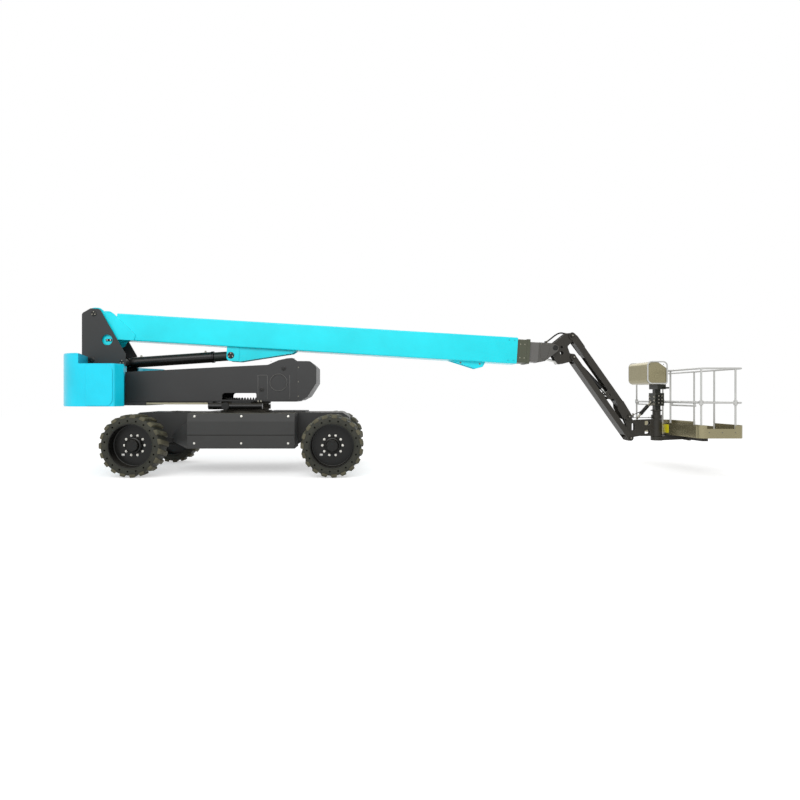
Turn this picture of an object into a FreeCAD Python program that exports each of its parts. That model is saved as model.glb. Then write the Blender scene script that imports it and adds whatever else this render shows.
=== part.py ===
import FreeCAD, Part
import math
import os

# Self-propelled telescopic boom lift, stowed: four-wheel chassis, slewing turntable with a rear
# tower and counterweight, three-section telescopic boom, parallelogram jib and rotating platform.
# Lengths are millimetres. x runs from the slew axis towards the platform, y to the machine's left
# (right and left as seen by someone facing the platform), z up from the ground.

V = FreeCAD.Vector

# ---------------------------------------------------------------- driving dimensions
WHEELBASE = 3355.0
OVERALL_WIDTH = 2490.0
TYRE_DIAMETER = 1060.0
TYRE_WIDTH = 400.0
RIM_DIAMETER = 740.0
RIM_WALL = 14.0
RIM_DISC_DEPTH = 200.0
RIM_LIP = 12.0
HUB_CAP_DIAMETER = 274.0
SPINDLE_DIAMETER = 90.0
KINGPIN_SPACING = 1440.0
KINGPIN_DIAMETER = 70.0
STEERING_ARM = 165.0
AXLE_BEAM_HEIGHT = 180.0
AXLE_BEAM_LENGTH = 180.0
YOKE_PLATE = 30.0

FRAME_HALF_WIDTH = 450.0
FRAME_OVERHANG = 272.0
FRAME_WALL = 16.0
CHASSIS_TOP = 1067.0
CHASSIS_BOTTOM = 420.0
COVER_REAR_SETBACK = 877.5
COVER_FRONT_SETBACK = 647.5
COVER_REAR = -WHEELBASE / 2 + COVER_REAR_SETBACK
COVER_FRONT = WHEELBASE / 2 - COVER_FRONT_SETBACK
COVER_HALF_WIDTH = 1000.0
COVER_BOTTOM = 467.0
COVER_FOLD = 930.0
COVER_WALL = 6.0
COVER_TAPER = 420.0
LUG_Z = 800.0
LUG_Y = 350.0
LUG_BORE = 30.0
LUG_PLATE = 25.0

SLEW_RING_RADIUS = 455.0
SLEW_RING_BORE = 300.0
SLEW_RING_TOP = 1257.0
SLEW_TEETH = 72

TURNTABLE_HALF_WIDTH = 450.0
SIDE_PLATE = 12.0
TURNTABLE_FRONT = 1007.0
FRONT_COVER_LENGTH = 349.0
TOWER_REAR = -2965.0
TOWER_HALF_WIDTH = 250.0
TOWER_PLATE = 18.0
COUNTERWEIGHT_HALF_WIDTH = 1200.0
COUNTERWEIGHT_REAR = -3005.0
COUNTERWEIGHT_LENGTH = 1095.0
COUNTERWEIGHT_CORNER = 500.0
COUNTERWEIGHT_BOTTOM = 1190.0
COUNTERWEIGHT_TOP = 2085.0
COUNTERWEIGHT_WING_TOP = 1910.0

BOOM_PIVOT = (-2745.0, 2878.0)
BOOM_DROOP = 3.45
PIVOT_OVER_CENTRE = 205.0
BOOM_PIN_RADIUS = 50.0
BASE_HEIGHT = 489.0
BASE_WIDTH = 400.0
BASE_REAR = 399.0
BASE_FRONT = 7823.0
TAIL_PLATE = 18.0
MID_HEIGHT = 434.0
MID_WIDTH = 350.0
MID_REACH = 230.0
MID_FRONT = BASE_FRONT + MID_REACH
TIP_HEIGHT = 366.0
TIP_WIDTH = 300.0
TIP_REACH = 176.0
TIP_FRONT = MID_FRONT + TIP_REACH
BOOM_WALL = 8.0
NOSE_REACH = 310.0
NOSE_PIVOT = (TIP_FRONT + NOSE_REACH, -104.0)
NOSE_PIN_RADIUS = 40.0

LIFT_BASE = (-2231.0, 1985.0)
LIFT_EYE = (2526.0, -606.0)
LIFT_BARREL_RADIUS = 100.0
LIFT_BARREL_LENGTH = 1636.0
LIFT_ROD_RADIUS = 62.0
LIFT_STROKE = 1290.0
LIFT_PIN_RADIUS = 45.0
LIFT_HUB_HALF = 96.0

LEVEL_BASE = (-750.0, -80.0)
LEVEL_EYE = (100.0, -264.0)
LEVEL_BARREL_RADIUS = 38.0
LEVEL_BARREL_LENGTH = 450.0
LEVEL_ROD_RADIUS = 22.0
LEVEL_STROKE = 356.0

JIB_ANGLE = -54.85
JIB_LENGTH = 1846.0
JIB_UPPER = (330.0, 230.0)
JIB_LOWER = (357.0, -170.0)
UPPER_ARM_HEIGHT = 116.0
UPPER_ARM_OFFSET = 24.0
LOWER_ARM_HEIGHT = 98.0
LOWER_ARM_OFFSET = -5.0
JIB_HALF_WIDTH = 84.0
JIB_PLATE = 12.0
JIB_WALL = 6.0
JIB_PIN_RADIUS = 30.0
KNUCKLE_HALF_WIDTH = 78.0
KNUCKLE_PLATE = 16.0
JIB_EYE = (1311.0, -63.0)
JIB_BARREL_RADIUS = 45.0
JIB_BARREL_LENGTH = 800.0
JIB_ROD_RADIUS = 27.0
JIB_STROKE = 695.0

ROTATOR_REACH = 566.0
ROTATOR_RADIUS = 92.0
ROTATOR_BOTTOM = 530.0
ROTATOR_TOP = 1100.0
ROTATOR_SHAFT = 42.0
BRACKET_LOW = 612.0
BRACKET_HIGH = 930.0
BRACKET_GAP = 50.0
PLATFORM_GAP = 120.0
PLATFORM_DEPTH = 770.0
PLATFORM_HALF_WIDTH = 1130.0
PLATFORM_CORNER = 120.0
PLATFORM_BOTTOM = 650.0
FLOOR_TOP = 700.0
FLOOR_PLATE = 6.0
TOE_TOP = 870.0
TOE_ENTRY_TOP = 812.0
TOE_WALL = 5.0
RAIL_RADIUS = 16.0
ELBOW_SEGMENTS = 3
GATE_BAY = (-340.0, 260.0)
ENTRY_END = 160.0
BAR_GAP = 36.0
MID_RAIL = 1250.0
TOP_RAIL = 1830.0
ENTRY_BAR_TRAVEL = 450.0
MACHINE_SIDE_POST = 215.0
CONSOLE_HALF_WIDTH = 334.0
CONSOLE_DEPTH = 365.0
CONSOLE_BEHIND = 358.0
CONSOLE_LOW = 1580.0
CONSOLE_HIGH = 1990.0
CONSOLE_TUBE = 12.0
HOSE_RADIUS = 14.0
CABLE_RADIUS = 7.0

PIN_CLEARANCE = 0.1
ROTATING_GAP = 5.0
SLIDE_GAP = 10.0

# ---------------------------------------------------------------- what follows from them
AXLE_HEIGHT = TYRE_DIAMETER / 2
STEER_X = -WHEELBASE / 2
DRIVE_X = WHEELBASE / 2
FRAME_END = WHEELBASE / 2 + FRAME_OVERHANG
NECK_BOTTOM = AXLE_HEIGHT + AXLE_BEAM_HEIGHT / 2
DECK_BOTTOM = SLEW_RING_TOP + ROTATING_GAP
DECK_TOP = DECK_BOTTOM + 28
SIDE_INNER = TURNTABLE_HALF_WIDTH - SIDE_PLATE
TOWER_OUTER = TOWER_HALF_WIDTH + TOWER_PLATE
FRONT_COVER_FRONT = TURNTABLE_FRONT + FRONT_COVER_LENGTH
SPINDLE_DEPTH = 135.0
NOSE_HALF_WIDTH = TIP_WIDTH / 2
NOSE_PLATE = 12.0
KNUCKLE_INNER = KNUCKLE_HALF_WIDTH - KNUCKLE_PLATE
LOWER_ARM_INNER = JIB_HALF_WIDTH + JIB_PLATE + 6
JIB_PIN_END = LOWER_ARM_INNER + JIB_PLATE + 10


def on_boom(along, above):
    """Ground coordinates of a point given along and above the boom's pivot, at rest."""
    droop = math.radians(BOOM_DROOP)
    x = BOOM_PIVOT[0] + along * math.cos(droop) + above * math.sin(droop)
    z = BOOM_PIVOT[1] - along * math.sin(droop) + above * math.cos(droop)
    return x, z


def plus(a, b):
    return a[0] + b[0], a[1] + b[1]


def turned(point, degrees):
    """A point (x, z) turned about the origin, positive upwards from +x to +z."""
    c, s = math.cos(math.radians(degrees)), math.sin(math.radians(degrees))
    return point[0] * c - point[1] * s, point[0] * s + point[1] * c


NOSE = on_boom(*NOSE_PIVOT)
UPPER_PIVOT = plus(NOSE, JIB_UPPER)
LOWER_PIVOT = plus(NOSE, JIB_LOWER)
JIB_REACH = turned((JIB_LENGTH, 0), JIB_ANGLE)
UPPER_END = plus(UPPER_PIVOT, JIB_REACH)
LOWER_END = plus(LOWER_PIVOT, JIB_REACH)
ROTATOR_X = UPPER_END[0] + ROTATOR_REACH
PLATFORM_NEAR = ROTATOR_X + PLATFORM_GAP
PLATFORM_FAR = PLATFORM_NEAR + PLATFORM_DEPTH
TO_FRAME = -(PLATFORM_FAR + COUNTERWEIGHT_REAR) / 2


# ---------------------------------------------------------------- shape helpers
def outline(corners, place):
    """Closed wire through (a, b) or (a, b, radius) corners, each radius a tangent arc."""
    points = [V(c[0], c[1], 0) for c in corners]
    pieces = []
    for i, here in enumerate(points):
        radius = corners[i][2] if len(corners[i]) > 2 else 0
        if not radius:
            pieces.append((here, None, here))
            continue
        back = (points[i - 1] - here).normalize()
        ahead = (points[(i + 1) % len(points)] - here).normalize()
        half = back.getAngle(ahead) / 2
        reach = radius / math.tan(half)
        centre = here + (back + ahead).normalize() * (radius / math.sin(half))
        middle = centre + (here - centre).normalize() * radius
        pieces.append((here + back * reach, middle, here + ahead * reach))
    edges = []
    for i, (start, middle, end) in enumerate(pieces):
        if middle is not None:
            edges.append(Part.Arc(place(start), place(middle), place(end)).toShape())
        following = pieces[(i + 1) % len(pieces)][0]
        if (following - end).Length > 0.01:
            edges.append(Part.LineSegment(place(end), place(following)).toShape())
    return Part.Wire(edges)


def plate(corners, y0, y1):
    """Outline in x and z, as thick as y0 to y1."""
    wire = outline(corners, lambda p: V(p.x, y0, p.y))
    return Part.Face(wire).extrude(V(0, y1 - y0, 0))


def slab(corners, z0, z1):
    """Outline in x and y, from z0 up to z1."""
    wire = outline(corners, lambda p: V(p.x, p.y, z0))
    return Part.Face(wire).extrude(V(0, 0, z1 - z0))


def bar(corners, x0, x1):
    """Outline in y and z, running from x0 to x1."""
    wire = outline(corners, lambda p: V(x0, p.x, p.y))
    return Part.Face(wire).extrude(V(x1 - x0, 0, 0))


def box(x0, x1, y0, y1, z0, z1):
    return Part.makeBox(x1 - x0, y1 - y0, z1 - z0, V(x0, y0, z0))


def across(centre, radius, y0, y1):
    """Round bar parallel to y at centre (x, z)."""
    return Part.makeCylinder(radius, y1 - y0, V(centre[0], y0, centre[1]), V(0, 1, 0))


def upright(x, y, radius, z0, z1):
    return Part.makeCylinder(radius, z1 - z0, V(x, y, z0))


def along(radius, x0, x1, y=0.0, z=0.0):
    return Part.makeCylinder(radius, x1 - x0, V(x0, y, z), V(1, 0, 0))


def fuse(shapes):
    first = shapes[0]
    return first.fuse(shapes[1:]).removeSplitter() if len(shapes) > 1 else first


def mirrored(shape):
    return shape.mirror(V(0, 0, 0), V(0, 1, 0))


def both_sides(shape):
    """The shape and its mirror image in the centre plane, as two separate solids."""
    return Part.makeCompound([shape, mirrored(shape)])


def rounded_section(width, top, bottom, radius):
    half = width / 2
    return [(-half, bottom, radius), (half, bottom, radius), (half, top, radius), (-half, top, radius)]


def box_tube(width, top, bottom, x0, x1, wall, radius=22.0):
    """Rectangular tube along x with rounded edges, open at both ends."""
    outer = bar(rounded_section(width, top, bottom, radius), x0, x1)
    inner_width = width - 2 * wall
    inner = bar(rounded_section(inner_width, top - wall, bottom + wall, radius - wall), x0 - 1, x1 + 1)
    return outer.cut(inner)


def place_on(shape, origin, degrees):
    """Turns a shape drawn along +x upwards by degrees and moves it to origin (x, z)."""
    shape = shape.copy()
    shape.rotate(V(0, 0, 0), V(0, 1, 0), -degrees)
    shape.translate(V(origin[0], 0, origin[1]))
    return shape


def on_the_boom(shape):
    return place_on(shape, BOOM_PIVOT, -BOOM_DROOP)


def revolved(corners, centre, side):
    """Outline in radius and inward depth from the wheel's outer face, turned about its axle."""
    outer = side * OVERALL_WIDTH / 2
    wire = outline(corners, lambda p: V(centre[0] + p.x, outer - side * p.y, centre[1]))
    return Part.Face(wire).revolve(V(centre[0], 0, centre[1]), V(0, 1, 0), 360)


def hose(points, radius):
    """Tube of straight runs and arcs, each arc 0.45 of its shorter run over tan of half the turn."""
    points = [V(*p) for p in points]
    edges, here = [], points[0]
    for before, corner, after in zip(points, points[1:], points[2:]):
        back, ahead = before - corner, after - corner
        reach = 0.45 * min(back.Length, ahead.Length)
        half_turn = (math.pi - back.getAngle(ahead)) / 2
        bend = reach / math.tan(half_turn)
        start = corner + back.normalize() * reach
        end = corner + ahead.normalize() * reach
        centre = corner + (back + ahead).normalize() * (bend / math.cos(half_turn))
        middle = centre + (corner - centre).normalize() * bend
        edges.append(Part.LineSegment(here, start).toShape())
        edges.append(Part.Arc(start, middle, end).toShape())
        print("hose bend radius %.0f mm, diameter %.0f mm" % (bend, 2 * radius))
        here = end
    edges.append(Part.LineSegment(here, points[-1]).toShape())
    path = Part.Wire(edges)
    ring = Part.Wire(Part.makeCircle(radius, points[0], points[1] - points[0]))
    tube = path.makePipeShell([ring], True, True)
    print("hose volume over section times length %.4f" % (tube.Volume / (math.pi * radius ** 2 * path.Length)))
    return tube


# ---------------------------------------------------------------- wheels, axles and steering
def tyre(x, side):
    """Solid rubber tyre with rounded shoulders, seated on the rim between its two lips."""
    outer, inner, shoulder = TYRE_DIAMETER / 2, RIM_DIAMETER / 2, 62.0
    half = [(inner, RIM_LIP), (inner + 18, 0, 8), (outer - shoulder, 0, 30), (outer, 48, 30)]
    other = [(c[0], TYRE_WIDTH - c[1]) + c[2:] for c in reversed(half)]
    return revolved(half + other, (x, AXLE_HEIGHT), side)


def rim(x, side):
    """Barrel, deep disc, hub with its blind bore for the spindle, and stepped planetary cap."""
    barrel, cap = RIM_DIAMETER / 2, HUB_CAP_DIAMETER / 2
    bore = SPINDLE_DIAMETER / 2 + PIN_CLEARANCE
    disc = RIM_DISC_DEPTH
    corners = [
        (0, disc - 120), (cap * 0.72, disc - 120, 10), (cap * 0.8, disc - 70, 8), (cap, disc - 60, 12),
        (cap, disc), (barrel - RIM_WALL, disc, 18), (barrel - RIM_WALL, RIM_LIP), (barrel, RIM_LIP),
        (barrel, TYRE_WIDTH - RIM_LIP), (barrel - RIM_WALL, TYRE_WIDTH - RIM_LIP),
        (barrel - RIM_WALL, disc + 18, 14), (125, disc + 18), (125, disc + 55), (bore, disc + 55),
        (bore, SPINDLE_DEPTH - 5), (0, SPINDLE_DEPTH - 5),
    ]
    return revolved(corners, (x, AXLE_HEIGHT), side)


def hub(x, side, inboard):
    """Drive housing and spindle that carry a wheel, from |y| = inboard outwards."""
    centre = (x, AXLE_HEIGHT)
    housing_end = OVERALL_WIDTH / 2 - RIM_DISC_DEPTH - 75
    spindle_end = OVERALL_WIDTH / 2 - SPINDLE_DEPTH
    housing = across(centre, 150, inboard, housing_end)
    spindle = across(centre, SPINDLE_DIAMETER / 2, inboard, spindle_end)
    shape = fuse([housing, spindle])
    return shape if side > 0 else mirrored(shape)


YOKE_TOP = AXLE_HEIGHT + 150
YOKE_BOTTOM = AXLE_HEIGHT - 150


def knuckle(side):
    """Steering knuckle: yoke plates on the kingpin, wall, hub, and arm for the steering rod."""
    y = KINGPIN_SPACING / 2
    wall_in, wall_out = y + 85, y + 115
    yoke = [(STEER_X - 78, y - 78, 70), (STEER_X + 78, y - 78, 70), (STEER_X + 110, wall_out),
            (STEER_X - 110, wall_out)]
    arm = [(STEER_X - STEERING_ARM - 42, y - 42, 38), (STEER_X, y - 60), (STEER_X, y + 60),
           (STEER_X - STEERING_ARM - 42, y + 42, 38)]
    shape = fuse([
        slab(yoke, YOKE_TOP - YOKE_PLATE, YOKE_TOP),
        slab(yoke, YOKE_BOTTOM, YOKE_BOTTOM + YOKE_PLATE),
        slab(arm, YOKE_BOTTOM, YOKE_BOTTOM + YOKE_PLATE),
        upright(STEER_X, y, KINGPIN_DIAMETER / 2, YOKE_BOTTOM, YOKE_TOP),
        box(STEER_X - 110, STEER_X + 110, wall_in, wall_out, YOKE_BOTTOM, YOKE_TOP),
        hub(STEER_X, 1, wall_in),
    ])
    return shape if side > 0 else mirrored(shape)


ROD_Z = YOKE_BOTTOM + YOKE_PLATE + 26
ROD_X = STEER_X - STEERING_ARM
STEERING_ROD_RADIUS = 20.0


def steer_axle():
    """Box beam with a kingpin tube at each end and a bracket for the steering cylinder."""
    y, half = KINGPIN_SPACING / 2, AXLE_BEAM_LENGTH / 2
    low, high = AXLE_HEIGHT - AXLE_BEAM_HEIGHT / 2, AXLE_HEIGHT + AXLE_BEAM_HEIGHT / 2
    shapes = [box(STEER_X - half, STEER_X + half, -y + 30, y - 30, low, high)]
    shapes.append(box(ROD_X, STEER_X, -70, 70, ROD_Z - 10, ROD_Z + 60))
    shapes += [upright(STEER_X, side * y, 70, low - 14, high + 14) for side in (-1, 1)]
    beam = fuse(shapes)
    bore = KINGPIN_DIAMETER / 2 + PIN_CLEARANCE
    for side in (-1, 1):
        beam = beam.cut(upright(STEER_X, side * y, bore, low - 20, high + 20))
    return beam.cut(across((ROD_X, ROD_Z), 40, -100, 100))


def steering_cylinder():
    """Double-ended cylinder across the machine, clamped to the axle."""
    barrel = across((ROD_X, ROD_Z), 40, -230, 230)
    glands = [across((ROD_X, ROD_Z), 46, y0, y0 + 34) for y0 in (-230, 196)]
    return fuse([barrel] + glands).cut(across((ROD_X, ROD_Z), STEERING_ROD_RADIUS + PIN_CLEARANCE, -300, 300))


def steering_rod():
    """Through rod with a flat eye over each knuckle's arm."""
    y = KINGPIN_SPACING / 2
    rod = across((ROD_X, ROD_Z), STEERING_ROD_RADIUS, -y, y)
    eyes = [upright(ROD_X, side * y, 34, ROD_Z - 18, ROD_Z + 18) for side in (-1, 1)]
    return fuse([rod] + eyes)


def drive_axle():
    """Fixed beam that carries the two drive hubs."""
    half = AXLE_BEAM_LENGTH / 2
    low, high = AXLE_HEIGHT - AXLE_BEAM_HEIGHT / 2, AXLE_HEIGHT + AXLE_BEAM_HEIGHT / 2
    end = KINGPIN_SPACING / 2 + 85
    beam = box(DRIVE_X - half, DRIVE_X + half, -end, end, low, high)
    return fuse([beam, hub(DRIVE_X, 1, end - 30), hub(DRIVE_X, -1, end - 30)])


# ---------------------------------------------------------------- chassis
def frame_outline(inset=0.0):
    """Side view of the frame: deep middle, necks that rise over the axles, sloped end corners."""
    end, top = FRAME_END - inset, CHASSIS_TOP - inset
    low, neck = CHASSIS_BOTTOM + inset, NECK_BOTTOM + inset
    half = [(900 - inset * 0.5, low, 40), (1230 - inset * 0.5, neck, 60), (end, neck),
            (end, top - 80, 30), (end - 120, top, 40)]
    return half + [(-c[0], c[1]) + c[2:] for c in reversed(half)]


def chassis_frame():
    """Welded box frame, hollow, with access holes below and the swivel's hole in the top."""
    w = FRAME_HALF_WIDTH
    outer = plate(frame_outline(), -w, w)
    inner = plate(frame_outline(FRAME_WALL), -w + FRAME_WALL, w - FRAME_WALL)
    holes = [upright(x, 0, 150, CHASSIS_BOTTOM - 5, CHASSIS_BOTTOM + 40) for x in (-600, 0, 600)]
    swivel = upright(0, 0, 180, CHASSIS_TOP - 40, CHASSIS_TOP + 5)
    hatch = slab([(490, -360, 40), (1150, -360, 40), (1150, 360, 40), (490, 360, 40)], CHASSIS_TOP, CHASSIS_TOP + 24)
    lid = upright(-1240, 0, 190, CHASSIS_TOP, CHASSIS_TOP + 10)
    return fuse([outer.cut(fuse([inner, swivel] + holes)), hatch, lid])


def cover_end(inset):
    """Tapered rear end of the cover: four flat facets that close on the frame's side."""
    out, low, top = COVER_HALF_WIDTH - inset, COVER_BOTTOM + inset, COVER_FOLD - inset
    start = FRAME_HALF_WIDTH - (10 if inset else 0)
    wide = bar([(start, low), (out, low), (out, top), (start, top)], COVER_REAR, COVER_REAR + 5).Faces
    narrow = bar([(start, 546 + inset), (FRAME_HALF_WIDTH + 8 - inset / 2, 546 + inset),
                  (FRAME_HALF_WIDTH + 8 - inset / 2, 692 - inset), (start, 692 - inset)],
                 COVER_REAR - COVER_TAPER + 2 * inset, COVER_REAR - COVER_TAPER + 2 * inset + 5).Faces
    first = min(wide, key=lambda face: face.CenterOfMass.x).OuterWire
    last = min(narrow, key=lambda face: face.CenterOfMass.x).OuterWire
    return Part.makeLoft([first, last], True, True)


def chassis_cover():
    """Side compartment of bent sheet, open towards the frame, with a pressed groove."""
    def section(inset):
        out, low, top = COVER_HALF_WIDTH - inset, COVER_BOTTOM + inset, CHASSIS_TOP - inset
        start = FRAME_HALF_WIDTH - (10 if inset else 0)
        return [(start, low), (out, low, 14), (out, COVER_FOLD), (out - 26, top, 12), (start, top)]

    outer = bar(section(0), COVER_REAR, COVER_FRONT)
    outer = outer.cut(box(COVER_REAR - 1, COVER_FRONT + 1, COVER_HALF_WIDTH - 4, COVER_HALF_WIDTH + 5, 690, 704))
    outer = fuse([outer, cover_end(0)])
    inner = bar(section(COVER_WALL), COVER_REAR + COVER_WALL, COVER_FRONT - COVER_WALL)
    return outer.cut(inner).cut(cover_end(COVER_WALL))


def tie_down_lugs():
    """Four shackle plates on the frame's ends, each with a bore across the machine."""
    lugs = []
    for end in (-1, 1):
        for side in (-1, 1):
            x0, x1 = end * FRAME_END, end * (FRAME_END + 100)
            corners = [(x0, LUG_Z - 70), (x1, LUG_Z - 55, 50), (x1, LUG_Z + 55, 50), (x0, LUG_Z + 70)]
            y0 = side * LUG_Y - LUG_PLATE / 2
            lug = plate(corners, y0, y0 + LUG_PLATE)
            lugs.append(lug.cut(across((lug_x(end), LUG_Z), LUG_BORE, y0 - 5, y0 + LUG_PLATE + 5)))
    return Part.makeCompound(lugs)


def lug_x(end):
    return end * (FRAME_END + 50)


def slew_ring():
    """Outer race with external teeth between its bottom and top flanges."""
    root, tip = SLEW_RING_RADIUS - 22, SLEW_RING_RADIUS
    step = 2 * math.pi / SLEW_TEETH
    corners = []
    for tooth in range(SLEW_TEETH):
        middle = tooth * step
        for radius, share in ((root, -0.36), (tip, -0.17), (tip, 0.17), (root, 0.36)):
            angle = middle + share * step
            corners.append((radius * math.cos(angle), radius * math.sin(angle)))
    gear_low, gear_high = CHASSIS_TOP + 58, SLEW_RING_TOP - 50
    shapes = [
        upright(0, 0, SLEW_RING_RADIUS + 20, CHASSIS_TOP, CHASSIS_TOP + 32),
        upright(0, 0, root - 12, CHASSIS_TOP, SLEW_RING_TOP),
        slab(corners, gear_low, gear_high),
        upright(0, 0, tip, SLEW_RING_TOP - 34, SLEW_RING_TOP),
    ]
    return fuse(shapes).cut(upright(0, 0, SLEW_RING_BORE, CHASSIS_TOP - 5, SLEW_RING_TOP + 5))


# ---------------------------------------------------------------- turntable
def turntable_deck():
    """Floor plate on the inner race, with the stiffening plate under its rear half."""
    floor = box(TOWER_REAR + 60, TURNTABLE_FRONT, -SIDE_INNER, SIDE_INNER, DECK_BOTTOM, DECK_TOP)
    belly = box(-1900, -SLEW_RING_RADIUS - 60, -SIDE_INNER, SIDE_INNER, DECK_BOTTOM - 50, DECK_BOTTOM)
    tray = box(SIDE_REAR - 40, -1714, -SIDE_INNER, SIDE_INNER, COUNTERWEIGHT_BOTTOM + 4, DECK_BOTTOM)
    race = upright(0, 0, SLEW_RING_BORE - SLIDE_GAP, CHASSIS_TOP + 30, DECK_BOTTOM)
    swivel_hole = upright(0, 0, 160, CHASSIS_TOP, DECK_TOP + 5)
    bulkhead = box(SIDE_REAR + 12, SIDE_REAR + 24, -SIDE_INNER, SIDE_INNER, DECK_TOP - 2, SIDE_TOP_LINE[0][1] - 30)
    return fuse([floor, belly, tray, race, bulkhead]).cut(swivel_hole)


SIDE_REAR = -2090.0
SIDE_TOP_LINE = [
    (-2040, 1800), (-290, 1890, 300), (482, 1927, 80), (675, 2011, 80), (832, 2045, 120),
    (928, 2051, 40), (TURNTABLE_FRONT, 1999),
]


def turntable_side():
    """Side plate with its window over the ring, pin bosses and a round pressed stiffener."""
    corners = [(SIDE_REAR, DECK_BOTTOM + 12), (SIDE_REAR, 1797)] + SIDE_TOP_LINE + [(TURNTABLE_FRONT, DECK_BOTTOM + 12)]
    shape = plate(corners, SIDE_INNER, TURNTABLE_HALF_WIDTH)
    window = [(-346, 1296), (-346, 1420, 60), (274, 1420, 30), (274, 1296)]
    shape = shape.cut(plate(window, SIDE_INNER - 5, TURNTABLE_HALF_WIDTH + 5))
    bosses = [across((765, 1863), 40, SIDE_INNER, TURNTABLE_HALF_WIDTH + 14),
              across((370, 1483), 40, SIDE_INNER, TURNTABLE_HALF_WIDTH + 14)]
    dish = across((675, 1607), 157, SIDE_INNER, TURNTABLE_HALF_WIDTH + 6)
    dish = dish.cut(across((675, 1607), 140, TURNTABLE_HALF_WIDTH, TURNTABLE_HALF_WIDTH + 10))
    return fuse([shape, dish] + bosses)


def turntable_top_cover():
    """Sheet between the side plates, a step below their top edge."""
    sheet, step = 8.0, 12.0
    top = [(c[0], c[1] - step) for c in SIDE_TOP_LINE]
    bottom = [(c[0], c[1] - step - sheet) for c in reversed(SIDE_TOP_LINE)]
    return plate(top + bottom, -SIDE_INNER, SIDE_INNER)


def turntable_front_cover():
    """Moulded nose cover, open towards the turntable."""
    x0, x1 = TURNTABLE_FRONT, FRONT_COVER_FRONT

    def section(inset, start):
        return [(start, 1995 - inset), (x1 - 115, 1993 - inset, 60), (x1 - inset, 1890, 60),
                (x1 - inset, 1600 + inset * 0.3, 50), (x1 - 162 - inset * 0.5, 1348 + inset, 50),
                (x0 + 60, 1280 + inset), (start, 1276 + inset)]

    wall = 8.0
    outer = plate(section(0, x0), -TURNTABLE_HALF_WIDTH, TURNTABLE_HALF_WIDTH)
    inner = plate(section(wall, x0 - 5), -TURNTABLE_HALF_WIDTH + wall, TURNTABLE_HALF_WIDTH - wall)
    return outer.cut(inner)


def tower_plate():
    """Tall side plate of the tower, with the round window, both pins' bores and the lift pin's long boss."""
    px, pz = BOOM_PIVOT
    lx, lz = LIFT_BASE
    corners = [
        (TOWER_REAR, DECK_TOP), (TOWER_REAR, pz + 5, 60), (px - 60, pz + 97, 60), (px + 102, pz + 92, 70),
        (lx + 64, lz + 150, 60), (lx + 64, DECK_TOP),
    ]
    shape = plate(corners, TOWER_HALF_WIDTH, TOWER_OUTER)
    boss = across(LIFT_BASE, LIFT_PIN_RADIUS + 28, LIFT_HUB_HALF + ROTATING_GAP + 3, TOWER_HALF_WIDTH + 2)
    cuts = [
        across((px + 243, pz - 483), 99, TOWER_HALF_WIDTH - 5, TOWER_OUTER + 5),
        across(BOOM_PIVOT, BOOM_PIN_RADIUS, TOWER_HALF_WIDTH - 5, TOWER_OUTER + 5),
        across(LIFT_BASE, LIFT_PIN_RADIUS, 0, TOWER_OUTER + 5),
    ]
    return fuse([shape, boss]).cut(fuse(cuts))


def tower_crossmember():
    """Back plate, cross tube and lower shelf that tie the two tower plates together."""
    w = TOWER_HALF_WIDTH
    back = box(TOWER_REAR + 12, TOWER_REAR + 30, -w, w, DECK_TOP, BOOM_PIVOT[1] - 400)
    tube = across((BOOM_PIVOT[0] - 20, 2008), 45, -w, w)
    rib = box(TOWER_REAR + 30, BOOM_PIVOT[0] - 20, -6, 6, 1700, 2300)
    return fuse([back, tube, rib])


def turntable_pins():
    """Boom pivot pin with its retaining discs, and the lift cylinder's base pin."""
    end = TOWER_OUTER + 8
    boom_pin = across(BOOM_PIVOT, BOOM_PIN_RADIUS, -end, end)
    return Part.makeCompound([boom_pin, across(LIFT_BASE, LIFT_PIN_RADIUS, -TOWER_OUTER, TOWER_OUTER)])


def counterweight():
    """Cast block wrapped round the tower: round rear corners, raked shoulders, raised side panels."""
    w, rear, low = COUNTERWEIGHT_HALF_WIDTH, COUNTERWEIGHT_REAR, COUNTERWEIGHT_BOTTOM
    wing, top = COUNTERWEIGHT_WING_TOP, COUNTERWEIGHT_TOP
    front = rear + COUNTERWEIGHT_LENGTH
    panel = 14.0
    half = [(rear, -w + panel, COUNTERWEIGHT_CORNER), (front - 60, -w + panel, 50), (front + 30, -w + 230, 60),
            (front - 230, -TURNTABLE_HALF_WIDTH)]
    plan = half + [(c[0], -c[1]) + c[2:] for c in reversed(half)]
    side = [(rear, low, 130), (front + 60, low, 60), (front + 60, wing, 60), (rear + 580, wing),
            (rear + 455, top, 90), (rear, top, 150)]
    block = slab(plan, low - 10, top + 10).common(plate(side, -w - 10, w + 10))
    raised = plate([(rear + 572, low + 12, 40), (front - 75, low + 12, 110), (front - 75, wing - 22, 110),
                    (rear + 572, wing - 22, 20)], -w, w)
    inner = -TOWER_OUTER + 30
    rake = slab([(rear + 455, -w - 10), (rear + 150, -TOWER_OUTER), (rear + 150, inner), (front + 100, inner),
                 (front + 100, -w - 10)], wing, top + 10)
    tower = box(TOWER_REAR - 4, front + 300, -TOWER_OUTER, TOWER_OUTER, low - 20, top + 20)
    deck_half = SIDE_INNER + ROTATING_GAP
    deck = box(TOWER_REAR + 50, front + 300, -deck_half, deck_half, low - 20, DECK_TOP + 2)
    middle = box(rear, front + 100, -w + 300, w - 300, low - 5, top + 5)
    block = block.cut(fuse([rake, mirrored(rake)])).cut(fuse([tower, deck]))
    return fuse([block, raised.cut(middle)])


def engine():
    """The engine as one plain block on the deck."""
    return box(-1450, -750, -300, 300, DECK_TOP, 1700)


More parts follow.
